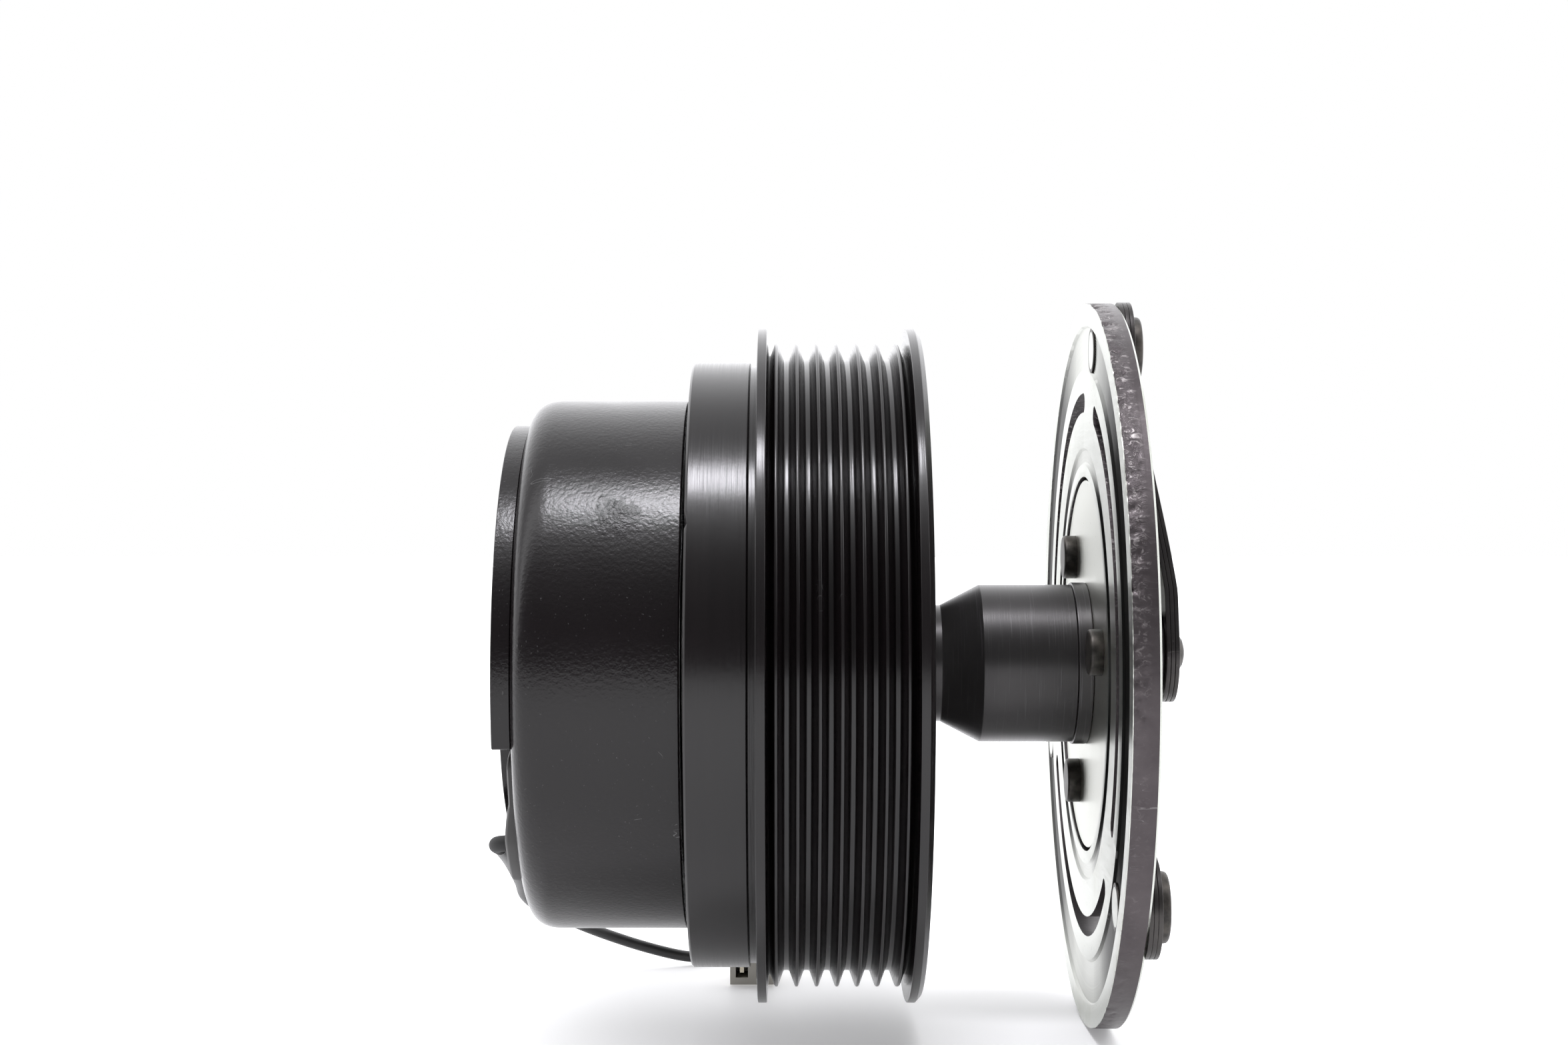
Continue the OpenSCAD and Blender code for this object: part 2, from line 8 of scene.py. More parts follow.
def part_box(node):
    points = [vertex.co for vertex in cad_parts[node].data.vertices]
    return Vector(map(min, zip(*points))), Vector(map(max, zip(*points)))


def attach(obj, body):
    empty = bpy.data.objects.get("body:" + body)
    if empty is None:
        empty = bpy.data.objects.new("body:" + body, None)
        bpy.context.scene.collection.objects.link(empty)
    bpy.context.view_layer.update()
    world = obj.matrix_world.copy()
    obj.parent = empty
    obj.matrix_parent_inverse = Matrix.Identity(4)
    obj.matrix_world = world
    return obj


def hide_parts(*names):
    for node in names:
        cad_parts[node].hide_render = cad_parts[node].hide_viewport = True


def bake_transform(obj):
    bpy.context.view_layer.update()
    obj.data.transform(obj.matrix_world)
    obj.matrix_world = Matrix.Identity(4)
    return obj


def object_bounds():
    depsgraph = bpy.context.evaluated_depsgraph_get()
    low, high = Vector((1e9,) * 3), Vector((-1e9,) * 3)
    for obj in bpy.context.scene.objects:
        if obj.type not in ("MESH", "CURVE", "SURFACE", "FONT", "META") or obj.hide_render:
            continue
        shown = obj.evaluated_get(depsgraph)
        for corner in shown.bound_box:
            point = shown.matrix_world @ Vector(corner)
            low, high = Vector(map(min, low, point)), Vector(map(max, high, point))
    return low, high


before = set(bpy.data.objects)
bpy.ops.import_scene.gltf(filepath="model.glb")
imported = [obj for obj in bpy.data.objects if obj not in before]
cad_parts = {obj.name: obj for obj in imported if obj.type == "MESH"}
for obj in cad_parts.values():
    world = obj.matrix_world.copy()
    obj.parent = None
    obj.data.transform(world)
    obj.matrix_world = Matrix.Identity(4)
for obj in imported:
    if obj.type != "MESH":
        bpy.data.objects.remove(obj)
cad_low, cad_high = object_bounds()

MM = 0.001


# ---------------------------------------------------------------- measures, in millimetres

def span_mm(node, axis=0):
    """Lowest and highest coordinate of a CAD node along an axis."""
    low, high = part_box(node)
    return low[axis] / MM, high[axis] / MM


def radius_mm(node):
    """Outer radius of a CAD node that is round about the shaft."""
    low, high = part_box(node)
    return (high[2] - low[2]) / 2 / MM


plate_rear, plate_front = span_mm("mounting_plate")
can_rear, can_front = span_mm("coil_housing")
can_r = radius_mm("coil_housing")
rim_rear, rim_front = span_mm("pulley_rim")
hub_nose, hub_end = span_mm("hub")
flange_face, flange_back = span_mm("hub_flange")
plate_face, plate_back = span_mm("armature_plate")
hub_flange_r = radius_mm("hub_flange")

CAN_BORE_R = 33.0
CAN_ROUND = 5.5
CAN_WALL = 3.3
CAN_FLOOR = 3.0
CAN_UNEVEN = 0.05
CAN_SCUFF = (21, -41.5, 28)
CAN_SCUFF_R = 5.5
LOBE_R = 43.0
PLATE_RING_R = 31.5
LOBE_CUT_Z = -12.0
LOCATING_R = 23.0
SCREW_CIRCLE_R = 28.0
SCREW_HOLE_R = 2.75
SCREW_ANGLES = (90, 210, 330)
FLANGE_R = 60.5
RIB_R = 57.7
RING_R = 54.3
RIM_BORE_R = 48.3
WEB_R = 50.8
WEB_SEAT = 8.5
GROOVES = 6
RIB_PITCH = 3.56
GROOVE_DEPTH = 2.9
RIB_TIP_W = 0.5
RIB_ROUND = 0.38
REAR_FLANGE = (rim_rear + 11.65, rim_rear + 13.25)
FRONT_FLANGE = (rim_rear + 37.9, rim_rear + 39.3)
HUB_R = 14.2
NOSE_R = 10.5
COLLAR_R = 14.6
SHAFT_BORE_R = 7.0
PILOT_R = 6.5
SPLINES = 20
SPLINE_DEPTH = 0.9
SPLINE_LEN = 16.0
SHIM_POCKET = (9.0, 1.1)
BOLT_SEAT_R = 9.5
BOLT_SEAT_DEPTH = 11.0
SPIGOT_R = 12.5
ARMATURE_R = 65.0
ARMATURE_BORE_R = 33.8
INNER_GROOVE = (36.0, 39.0, 0.5)
OUTER_GROOVE = (53.0, 61.0, 0.55)
SLOT = (45.4, 48.9)
SLOT_SPAN = 101.0
TEAR_DEPTH = 1.3
HUB_RIVET_R = 24.0
OUTER_RIVET_R = 57.0
FIRST_HUB_RIVET = 7.6
HUB_RIVET_TAIL = 2.4
SHANK_R = 2.5
TAIL_R = 4.0
TAIL_GROUND_R = 3.3
SPACER_R = 7.0
PAN_HEAD = (5.9, 1.8)
FIRST_OUTER_RIVET = 78.7
SPRING_RISE = 5.7
LEAVES = 3
LEAF_T = 0.73
LEAF_PITCH = 0.75
LEAF_W = 17.0
LEAF_END = 9.0
LEAD_ANGLE = -50.0
LEAD_R = 38.5
LEAD_SLOPE = -15.0
COVER_R = 38.0
COVER_START = -62.0
COVER_SPAN = 42.5
WIRE_R = 1.1
WIRE_X = -1.2
GROMMET_R = 1.4
GROMMET_BEND = 2.4
GROMMET_LEN = 4.6
GROMMET_RIBS = 4
LATCH_H = 0.7
PLUG_NECK_LEN = 2.0
PLUG_GRIPS = 5
PLUG_GRIP_PITCH = 1.4
WIRE_ROUTE = [
    (-1.2, -17.9, -31.3), (-1.2, -12, -32.9), (-1.2, -4, -35.2), (-1.2, 6, -38.5), (-1.2, 16, -42.2),
    (-1.2, 25, -46), (1.2, 33.5, -49.8), (6, 41.5, -53.4), (12, 48, -57), (19.5, 53, -60.4),
    (27, 56.5, -62.9), (32, 59.5, -63.8), (36, 63.5, -63.9), (39.5, 67, -63.9), (44.5, 67.5, -63.9),
    (47, 63.5, -63.9), (45.5, 58, -63.7), (43, 53, -63), (42, 49.5, -62.5),
]


# ---------------------------------------------------------------- camera, floor and light

# Lengths here are in metres, apart from the camera's place and the gap under the rim, in millimetres
CAMERA_PLACE = (48.25, -448.0, 25.5)
CAMERA_LENS = 56.71
FLOOR_GAP = 0.2
FLOOR_HALF = 6.0
SOFTBOX_ANGLE = math.radians(73)
SOFTBOX_PLACE = (0.005, -math.cos(SOFTBOX_ANGLE), math.sin(SOFTBOX_ANGLE))
SOFTBOX_AIM = (0.04, 0.0, 0.0)
SOFTBOX_SIZE = (0.19, 0.19)
SOFTBOX_WATTS = 3.5
SOFTBOX_COLOUR = (0.95, 0.94, 1.0)


def add_camera():
    """Level camera a little above the shaft, square to it."""
    data = bpy.data.cameras.new("camera")
    data.lens = CAMERA_LENS
    data.sensor_width = 36.0
    camera = bpy.data.objects.new("camera", data)
    camera.location = [v * MM for v in CAMERA_PLACE]
    camera.rotation_euler = (math.radians(90), 0, 0)
    bpy.context.collection.objects.link(camera)
    bpy.context.scene.camera = camera


def add_area(name, place, aim, size, watts, colour):
    """A soft rectangular lamp at place, pointing at aim (both in metres)."""
    data = bpy.data.lights.new(name, "AREA")
    data.shape = "RECTANGLE"
    data.size, data.size_y = size
    data.energy = watts
    data.color = colour
    lamp = bpy.data.objects.new(name, data)
    lamp.location = place
    lamp.rotation_euler = (Vector(aim) - Vector(place)).to_track_quat("-Z", "Y").to_euler()
    bpy.context.collection.objects.link(lamp)


def add_floor():
    """Plain white table top just under the armature's rim."""
    floor_z = cad_low.z - FLOOR_GAP * MM
    mesh = bpy.data.meshes.new("floor")
    corners = [(x * FLOOR_HALF, y * FLOOR_HALF, floor_z) for x, y in ((-1, -1), (1, -1), (1, 1), (-1, 1))]
    mesh.from_pydata(corners, [], [(0, 1, 2, 3)])
    floor = bpy.data.objects.new("floor", mesh)
    bpy.context.collection.objects.link(floor)
    material = bpy.data.materials.new("floor_white")
    material.use_nodes = True
    shader = material.node_tree.nodes["Principled BSDF"]
    shader.inputs["Base Color"].default_value = (0.92, 0.92, 0.92, 1)
    shader.inputs["Roughness"].default_value = 0.5
    shader.inputs["Specular IOR Level"].default_value = 0.2
    shader.inputs["Emission Color"].default_value = (0.98, 0.98, 1, 1)
    shader.inputs["Emission Strength"].default_value = 0.26
    mesh.materials.append(material)


# Brightness of the room seen at each angle about the shaft: 0 is the horizon behind the camera,
# 90 is overhead and 180 is the horizon behind the object
ROOM = [(0, 0.16), (22, 0.20), (42, 0.40), (54, 1.0), (63, 2.2), (70, 3.2), (79, 3.0), (86, 1.7), (94, 1.1),
        (112, 1.3), (128, 1.7), (150, 1.9), (180, 1.9)]
ROOM_PEAK = 3.2


def add_world():
    """White surround for the eye, and a room that is bright overhead and behind but dim at the front."""
    world = bpy.data.worlds.new("studio")
    bpy.context.scene.world = world
    world.use_nodes = True
    nodes, links = world.node_tree.nodes, world.node_tree.links
    nodes.clear()
    out = nodes.new("ShaderNodeOutputWorld")
    mix = nodes.new("ShaderNodeMixShader")
    seen = nodes.new("ShaderNodeBackground")
    seen.inputs["Color"].default_value = (1, 1, 1, 1)
    seen.inputs["Strength"].default_value = 1.0
    room = nodes.new("ShaderNodeBackground")
    room.inputs["Strength"].default_value = ROOM_PEAK
    path = nodes.new("ShaderNodeLightPath")
    coords = nodes.new("ShaderNodeTexCoord")
    split = nodes.new("ShaderNodeSeparateXYZ")
    front = nodes.new("ShaderNodeMath")
    front.operation = "MULTIPLY"
    front.inputs[1].default_value = -1.0
    angle = nodes.new("ShaderNodeMath")
    angle.operation = "ARCTAN2"
    share = nodes.new("ShaderNodeMath")
    share.operation = "DIVIDE"
    share.inputs[1].default_value = math.pi
    ramp = nodes.new("ShaderNodeValToRGB")
    elements = ramp.color_ramp.elements
    while len(elements) < len(ROOM):
        elements.new(0.5)
    for element, (degrees, level) in zip(elements, ROOM):
        element.position = degrees / 180
        grey = level / ROOM_PEAK
        element.color = (grey, grey, grey * 1.02, 1)
    links.new(coords.outputs["Generated"], split.inputs[0])
    links.new(split.outputs["Y"], front.inputs[0])
    links.new(split.outputs["Z"], angle.inputs[0])
    links.new(front.outputs[0], angle.inputs[1])
    links.new(angle.outputs[0], share.inputs[0])
    links.new(share.outputs[0], ramp.inputs[0])
    links.new(ramp.outputs["Color"], room.inputs["Color"])
    links.new(path.outputs["Is Camera Ray"], mix.inputs[0])
    links.new(room.outputs[0], mix.inputs[1])
    links.new(seen.outputs[0], mix.inputs[2])
    links.new(mix.outputs[0], out.inputs[0])


add_camera()
add_floor()
add_world()
bpy.context.scene.view_settings.view_transform = "Standard"
add_area("softbox", SOFTBOX_PLACE, SOFTBOX_AIM, SOFTBOX_SIZE, SOFTBOX_WATTS, SOFTBOX_COLOUR)


# ---------------------------------------------------------------- materials

class Paint:
    """A node material with helpers for the patterns that this object's finishes share."""

    def __init__(self, name, metallic=0.0, specular=0.5):
        self.material = bpy.data.materials.new(name)
        self.material.use_nodes = True
        self.tree = self.material.node_tree
        self.shader = self.tree.nodes["Principled BSDF"]
        self.shader.inputs["Metallic"].default_value = metallic
        self.shader.inputs["Specular IOR Level"].default_value = specular
        self.coords = self.tree.nodes.new("ShaderNodeTexCoord").outputs["Object"]
        self.height = None

    def node(self, kind, **settings):
        made = self.tree.nodes.new(kind)
        for key, value in settings.items():
            setattr(made, key, value)
        return made

    def join(self, source, target):
        self.tree.links.new(source, target)

    def calc(self, operation, a, b=None, c=None):
        """A Math node's output; a, b and c are sockets or numbers."""
        made = self.node("ShaderNodeMath", operation=operation)
        for slot, value in enumerate((a, b, c)):
            if value is None:
                continue
            if isinstance(value, (int, float)):
                made.inputs[slot].default_value = value
            else:
                self.join(value, made.inputs[slot])
        return made.outputs[0]

    def scaled_coords(self, scale):
        """Object coordinates stretched by a scale for each axis."""
        mapping = self.node("ShaderNodeMapping")
        mapping.inputs["Scale"].default_value = scale
        self.join(self.coords, mapping.inputs["Vector"])
        return mapping.outputs[0]

    def axes(self):
        """The x, y and z of the object coordinates, each as a socket."""
        split = self.node("ShaderNodeSeparateXYZ")
        self.join(self.coords, split.inputs[0])
        return split.outputs

    def remap(self, source, start, end, low, high):
        """Goes from low to high as source goes from start to end, and stops there."""
        made = self.node("ShaderNodeMapRange")
        for slot, value in zip(("From Min", "From Max", "To Min", "To Max"), (start, end, low, high)):
            made.inputs[slot].default_value = value
        self.join(source, made.inputs[0])
        return made.outputs[0]

    def grain(self, scale, detail=3.0, roughness=0.55, vector=None, distortion=0.0):
        """Noise from 0 to 1, with scale in cycles per metre."""
        made = self.node("ShaderNodeTexNoise")
        made.inputs["Scale"].default_value = scale
        made.inputs["Detail"].default_value = detail
        made.inputs["Roughness"].default_value = roughness
        made.inputs["Distortion"].default_value = distortion
        self.join(vector or self.coords, made.inputs["Vector"])
        return made.outputs[0]

    def turning(self, per_metre, detail=4.0, wander=0.02):
        """Lathe lines: noise that changes along the shaft and outwards, and barely around it."""
        x, y, z = self.axes()
        outward = self.calc("SQRT", self.calc("ADD", self.calc("POWER", y, 2.0), self.calc("POWER", z, 2.0)))
        pack = self.node("ShaderNodeCombineXYZ")
        for slot, source in enumerate((x, outward, self.calc("MULTIPLY", z, wander))):
            self.join(source, pack.inputs[slot])
        return self.grain(per_metre, detail, 0.6, pack.outputs[0])

    def ramp(self, source, stops):
        """Colours or greys along 0 to 1: stops are (position, colour)."""
        made = self.node("ShaderNodeValToRGB")
        elements = made.color_ramp.elements
        while len(elements) < len(stops):
            elements.new(0.5)
        for element, (position, colour) in zip(elements, stops):
            element.position = position
            grey = isinstance(colour, (int, float))
            element.color = (colour, colour, colour, 1) if grey else (*colour, 1)
        self.join(source, made.inputs[0])
        return made.outputs[0]

    def blend(self, share, a, b):
        """Mix of two colours; each is a socket or a colour."""
        made = self.node("ShaderNodeMix", data_type="RGBA")
        self.join(share, made.inputs[0])
        for slot, value in ((6, a), (7, b)):
            if isinstance(value, tuple):
                made.inputs[slot].default_value = (*value, 1)
            else:
                self.join(value, made.inputs[slot])
        return made.outputs[2]

    def colour(self, source):
        self.join(source, self.shader.inputs["Base Color"])

    def rough(self, source, low, high):
        """Roughness from low to high as source goes from 0 to 1."""
        self.join(self.remap(source, 0.0, 1.0, low, high), self.shader.inputs["Roughness"])

    def bump(self, source, depth_mm, strength=1.0):
        """Adds a height pattern of that depth, on top of any given before."""
        made = self.node("ShaderNodeBump")
        made.inputs["Strength"].default_value = strength
        made.inputs["Distance"].default_value = depth_mm * MM
        self.join(source, made.inputs["Height"])
        if self.height is not None:
            self.join(self.height, made.inputs["Normal"])
        self.height = made.outputs[0]
        self.join(self.height, self.shader.inputs["Normal"])

    def near(self, place_mm, reach_mm, edge=0.5):
        """1 near a place, falling to 0 at its reach with a ragged edge."""
        offset = self.node("ShaderNodeVectorMath", operation="DISTANCE")
        self.join(self.coords, offset.inputs[0])
        offset.inputs[1].default_value = [v * MM for v in place_mm]
        share = self.calc("DIVIDE", offset.outputs["Value"], reach_mm * MM)
        ragged = self.calc("ADD", share, self.calc("MULTIPLY_ADD", self.grain(500, 3.0), 2 * edge, -edge))
        return self.ramp(ragged, [(0.45, 1.0), (0.95, 0.0)])

    def scratches(self, scale, width, amount):
        """Sparse fine scratches: thin contour lines of a stretched noise, in patches."""
        lines = self.grain(scale, 1.0, 0.4, self.scaled_coords((0.35, 1.0, 1.7)), 1.6)
        band = self.calc("ABSOLUTE", self.calc("SUBTRACT", lines, 0.5))
        thin = self.calc("LESS_THAN", band, width)
        patches = self.calc("GREATER_THAN", self.grain(scale * 0.6, 2.0), 1.0 - amount)
        return self.calc("MULTIPLY", thin, patches)


def e_coat():
    """Satin black electro-coat of the coil can: orange peel, dust, hairline scratches, one scuff."""
    paint = Paint("black_e_coat", specular=0.36)
    cloud = paint.grain(55, 3.0)
    specks = paint.calc("GREATER_THAN", paint.grain(2600, 1.0, 0.4), 0.76)
    marks = paint.scratches(160, 0.004, 0.34)
    base = paint.blend(cloud, (0.0030, 0.0020, 0.0024), (0.0066, 0.0048, 0.0054))
    dusty = paint.blend(paint.calc("MULTIPLY", specks, 0.35), base, (0.10, 0.10, 0.10))
    paint.colour(paint.blend(marks, dusty, (0.11, 0.11, 0.11)))
    scuff = paint.near(CAN_SCUFF, CAN_SCUFF_R)
    paint.rough(paint.calc("ADD", paint.grain(120, 4.0), paint.calc("MULTIPLY", scuff, 1.6)), 0.16, 0.27)
    paint.bump(paint.grain(420, 2.0), 0.05, 0.5)
    paint.bump(paint.grain(1500, 3.0), 0.05, 1.0)
    paint.bump(paint.calc("MULTIPLY", scuff, paint.grain(1900, 2.0)), 0.12, 1.0)
    return paint.material


def pulley_black():
    """Glossy black over lathe-turned steel."""
    paint = Paint("pulley_black", specular=0.43)
    lines = paint.turning(5200)
    broad = paint.turning(900, 2.0)
    base = paint.blend(broad, (0.0026, 0.0019, 0.0022), (0.0072, 0.0054, 0.0058))
    marks = paint.scratches(130, 0.003, 0.30)
    paint.colour(paint.blend(marks, base, (0.07, 0.07, 0.07)))
    paint.rough(lines, 0.13, 0.28)
    paint.bump(lines, 0.014, 0.8)
    paint.bump(paint.turning(1500, 3.0), 0.05, 1.0)
    paint.bump(paint.grain(500, 2.0), 0.02, 0.4)
    return paint.material


def black_oxide():
    """Black oxide over turned steel: the lathe lines catch the light."""
    paint = Paint("black_oxide", metallic=0.55, specular=0.5)
    lines = paint.turning(3600)
    cloud = paint.grain(90, 4.0)
    base = paint.blend(cloud, (0.030, 0.028, 0.029), (0.058, 0.055, 0.055))
    paint.colour(paint.blend(paint.ramp(lines, [(0.58, 0.0), (0.72, 0.6)]), base, (0.11, 0.105, 0.11)))
    paint.rough(lines, 0.24, 0.38)
    paint.bump(lines, 0.014, 0.7)
    return paint.material


def ground_steel():
    """Ground steel of the armature's face: bright, with fine random grinding lines and faint stains."""
    paint = Paint("ground_steel", metallic=1.0)
    fine = paint.grain(2300, 3.0, 0.6, paint.scaled_coords((1.0, 0.05, 1.0)))
    pits = paint.calc("GREATER_THAN", paint.grain(1500, 2.0, 0.5), 0.72)
    rings = paint.turning(2600, 3.0)
    stain = paint.grain(70, 4.0)
    base = paint.blend(fine, (0.44, 0.455, 0.42), (0.60, 0.615, 0.575))
    stained = paint.blend(paint.ramp(stain, [(0.52, 0.0), (0.74, 0.5)]), base, (0.33, 0.34, 0.27))
    paint.colour(paint.blend(paint.calc("MULTIPLY", pits, 0.5), stained, (0.10, 0.10, 0.09)))
    paint.rough(fine, 0.26, 0.42)
    paint.bump(fine, 0.018, 0.9)
    paint.bump(rings, 0.014, 0.8)
    return paint.material


def turned_steel():
    """Turned floor of the armature's grooves: lathe lines, with painted shade in a fan to either side and a
    lighter tone above and below, for how turned steel looks under overhead light.
    """
    paint = Paint("turned_steel", metallic=1.0)
    lines = paint.turning(3000, 3.0)
    across, upwards = paint.axes()[1:]
    slope = paint.calc("ARCTAN2", paint.calc("ABSOLUTE", upwards), paint.calc("ABSOLUTE", across))
    wander = paint.calc("MULTIPLY_ADD", paint.grain(60, 2.0), 0.16, -0.08)
    upright = paint.calc("ADD", paint.calc("DIVIDE", slope, math.pi / 2), wander)
    # painted light: the sides of the groove floor take the dark tone and the top and bottom the light one,
    # standing in for the reflection of overhead light on turned steel
    bright = paint.blend(lines, (0.40, 0.41, 0.38), (0.62, 0.63, 0.59))
    painted_side_shade = paint.blend(lines, (0.045, 0.044, 0.043), (0.13, 0.13, 0.125))
    paint.colour(paint.blend(paint.ramp(upright, [(0.60, 0.0), (0.84, 1.0)]), painted_side_shade, bright))
    paint.rough(lines, 0.28, 0.42)
    paint.bump(lines, 0.02, 0.6)
    return paint.material


def bright_disc():
    """Satin plated disc of the hub flange, with a few dark specks."""
    paint = Paint("bright_disc", metallic=1.0)
    cloud = paint.grain(160, 4.0)
    specks = paint.calc("GREATER_THAN", paint.grain(900, 2.0), 0.74)
    base = paint.blend(cloud, (0.46, 0.47, 0.42), (0.60, 0.61, 0.56))
    paint.colour(paint.blend(paint.calc("MULTIPLY", specks, 0.6), base, (0.25, 0.23, 0.19)))
    paint.rough(cloud, 0.26, 0.38)
    paint.bump(paint.grain(1300, 3.0), 0.012, 0.5)
    return paint.material


def sheared_edge():
    """Dark oxide of the armature's rim and back: torn by the face, with painted glints there that fade
    towards the lower side, smooth by the back.
    """
    paint = Paint("sheared_edge", metallic=0.7, specular=0.5)
    along, _, upwards = paint.axes()
    torn_end, smooth_start = (plate_face + share * (plate_back - plate_face) for share in (0.45, 0.75))
    near_face = paint.remap(along, torn_end * MM, smooth_start * MM, 1.0, 0.08)
    upper = paint.remap(upwards, -0.05 * ARMATURE_R * MM, 0.6 * ARMATURE_R * MM, 0.08, 1.0)
    torn_and_glint_share = paint.calc("MULTIPLY", near_face, upper)
    torn = paint.grain(900, 5.0, 0.66, paint.scaled_coords((0.7, 1.0, 1.0)), 1.2)
    mottle = paint.ramp(paint.grain(75, 5.0, 0.62), [(0.32, 0.0), (0.68, 1.0)])
    worn = paint.blend(mottle, (0.050, 0.042, 0.045), (0.082, 0.071, 0.074))
    marks = paint.scratches(170, 0.003, 0.40)
    base = paint.blend(paint.calc("MULTIPLY", marks, 0.35), worn, (0.24, 0.23, 0.23))
    # painted highlight: the torn grain by the face is coloured lighter, fading towards the lower side, in
    # place of overhead light glinting on it; the same share also sets the tears' real bump
    painted_glints = paint.calc("MULTIPLY", paint.ramp(torn, [(0.55, 0.0), (0.66, 0.9)]), torn_and_glint_share)
    paint.colour(paint.blend(painted_glints, base, (0.40, 0.37, 0.37)))
    paint.rough(torn, 0.22, 0.46)
    paint.bump(paint.calc("MULTIPLY", torn, torn_and_glint_share), 0.20, 1.0)
    paint.bump(paint.grain(4200, 2.0), 0.008, 0.5)
    return paint.material


def rivet_oxide():
    """Brown-black oxide of the rivets, rubbed a little lighter where it was struck."""
    paint = Paint("rivet_oxide", metallic=0.6, specular=0.45)
    cloud = paint.grain(420, 4.0)
    rubbed = paint.ramp(cloud, [(0.35, 0.0), (0.65, 1.0)])
    paint.colour(paint.blend(rubbed, (0.028, 0.026, 0.024), (0.090, 0.081, 0.072)))
    paint.rough(cloud, 0.32, 0.55)
    paint.bump(paint.grain(1500, 3.0), 0.03, 0.6)
    return paint.material


def spring_steel():
    """Dark tempered spring strip: heat-mottled, with hairline scratches from handling."""
    paint = Paint("spring_steel", metallic=0.75)
    rolled = paint.grain(1700, 3.0, 0.6)
    mottle = paint.ramp(paint.grain(95, 5.0, 0.62), [(0.34, 0.0), (0.68, 1.0)])
    base = paint.blend(mottle, (0.036, 0.033, 0.033), (0.062, 0.058, 0.055))
    marks = paint.scratches(210, 0.004, 0.42)
    paint.colour(paint.blend(paint.calc("MULTIPLY", marks, 0.35), base, (0.22, 0.21, 0.20)))
    paint.rough(rolled, 0.22, 0.44)
    paint.bump(rolled, 0.010, 0.7)
    return paint.material


def bearing_steel():
    """Ground bearing steel with fine lines around it."""
    paint = Paint("bearing_steel", metallic=1.0)
    lines = paint.turning(4200)
    paint.colour(paint.blend(lines, (0.50, 0.50, 0.50), (0.66, 0.66, 0.65)))
    paint.rough(lines, 0.16, 0.30)
    paint.bump(lines, 0.003, 0.4)
    return paint.material


def ball_steel():
    """Polished ball steel, dulled here and there by grease."""
    paint = Paint("ball_steel", metallic=1.0)
    film = paint.grain(260, 3.0)
    paint.colour(paint.blend(film, (0.68, 0.68, 0.68), (0.80, 0.80, 0.80)))
    paint.rough(film, 0.05, 0.16)
    return paint.material


def cage_steel():
    """Pressed steel cage, satin and slightly brown."""
    paint = Paint("cage_steel", metallic=0.9)
    cloud = paint.grain(300, 4.0)
    paint.colour(paint.blend(cloud, (0.32, 0.29, 0.24), (0.46, 0.43, 0.37)))
    paint.rough(cloud, 0.35, 0.5)
    paint.bump(paint.grain(1800, 2.0), 0.01, 0.4)
    return paint.material


def copper_wire():
    """Enamelled copper turns lying round the bobbin."""
    paint = Paint("copper_wire", metallic=0.8)
    turns = paint.node("ShaderNodeTexWave", bands_direction="X")
    turns.inputs["Scale"].default_value = 520
    paint.join(paint.coords, turns.inputs["Vector"])
    cloud = paint.grain(200, 3.0)
    paint.colour(paint.blend(cloud, (0.42, 0.14, 0.05), (0.56, 0.22, 0.09)))
    paint.rough(cloud, 0.22, 0.36)
    paint.bump(turns.outputs[0], 0.25, 0.8)
    return paint.material


def resin():
    """Dark casting resin with a gently uneven poured surface."""
    paint = Paint("resin", specular=0.5)
    cloud = paint.grain(70, 3.0)
    paint.colour(paint.blend(cloud, (0.008, 0.008, 0.009), (0.018, 0.017, 0.017)))
    paint.rough(cloud, 0.18, 0.34)
    paint.bump(paint.grain(210, 2.0), 0.12, 0.5)
    paint.bump(paint.grain(2400, 2.0), 0.006, 0.3)
    return paint.material


def moulded(name, dark, light, low=0.42, high=0.6):
    """Moulded plastic or rubber with a fine spark-eroded grain."""
    paint = Paint(name, specular=0.45)
    cloud = paint.grain(140, 3.0)
    paint.colour(paint.blend(cloud, dark, light))
    paint.rough(cloud, low, high)
    paint.bump(paint.grain(3200, 2.0), 0.012, 0.5)
    return paint.material


def tinned_brass():
    """Tinned blade terminals."""
    paint = Paint("tinned_brass", metallic=1.0)
    film = paint.grain(400, 3.0)
    paint.colour(paint.blend(film, (0.58, 0.52, 0.38), (0.74, 0.71, 0.62)))
    paint.rough(film, 0.22, 0.36)
    return paint.material


FINISH = {
    "e_coat": e_coat(),
    "pulley": pulley_black(),
    "oxide": black_oxide(),
    "ground": ground_steel(),
    "disc": bright_disc(),
    "groove": turned_steel(),
    "sheared": sheared_edge(),
    "rivet": rivet_oxide(),
    "spring": spring_steel(),
    "bearing": bearing_steel(),
    "ball": ball_steel(),
    "cage": cage_steel(),
    "copper": copper_wire(),
    "resin": resin(),
    "bobbin": moulded("bobbin_nylon", (0.02, 0.02, 0.02), (0.035, 0.035, 0.034)),
    "cover": moulded("cover_nylon", (0.012, 0.0115, 0.011), (0.028, 0.026, 0.025), 0.38, 0.55),
    "rubber": moulded("black_rubber", (0.010, 0.010, 0.010), (0.022, 0.022, 0.022), 0.55, 0.75),
    "jacket": moulded("wire_jacket", (0.010, 0.010, 0.010), (0.020, 0.020, 0.021), 0.32, 0.45),
    "plug": moulded("plug_nylon", (0.46, 0.44, 0.39), (0.58, 0.56, 0.51), 0.4, 0.55),
    "tinned": tinned_brass(),
}


# ---------------------------------------------------------------- mesh helpers

def polar(angle, r):
    """Point in (y, z) at an angle in degrees from -Y towards +Z."""
    return Vector((-r * math.cos(math.radians(angle)), r * math.sin(math.radians(angle))))


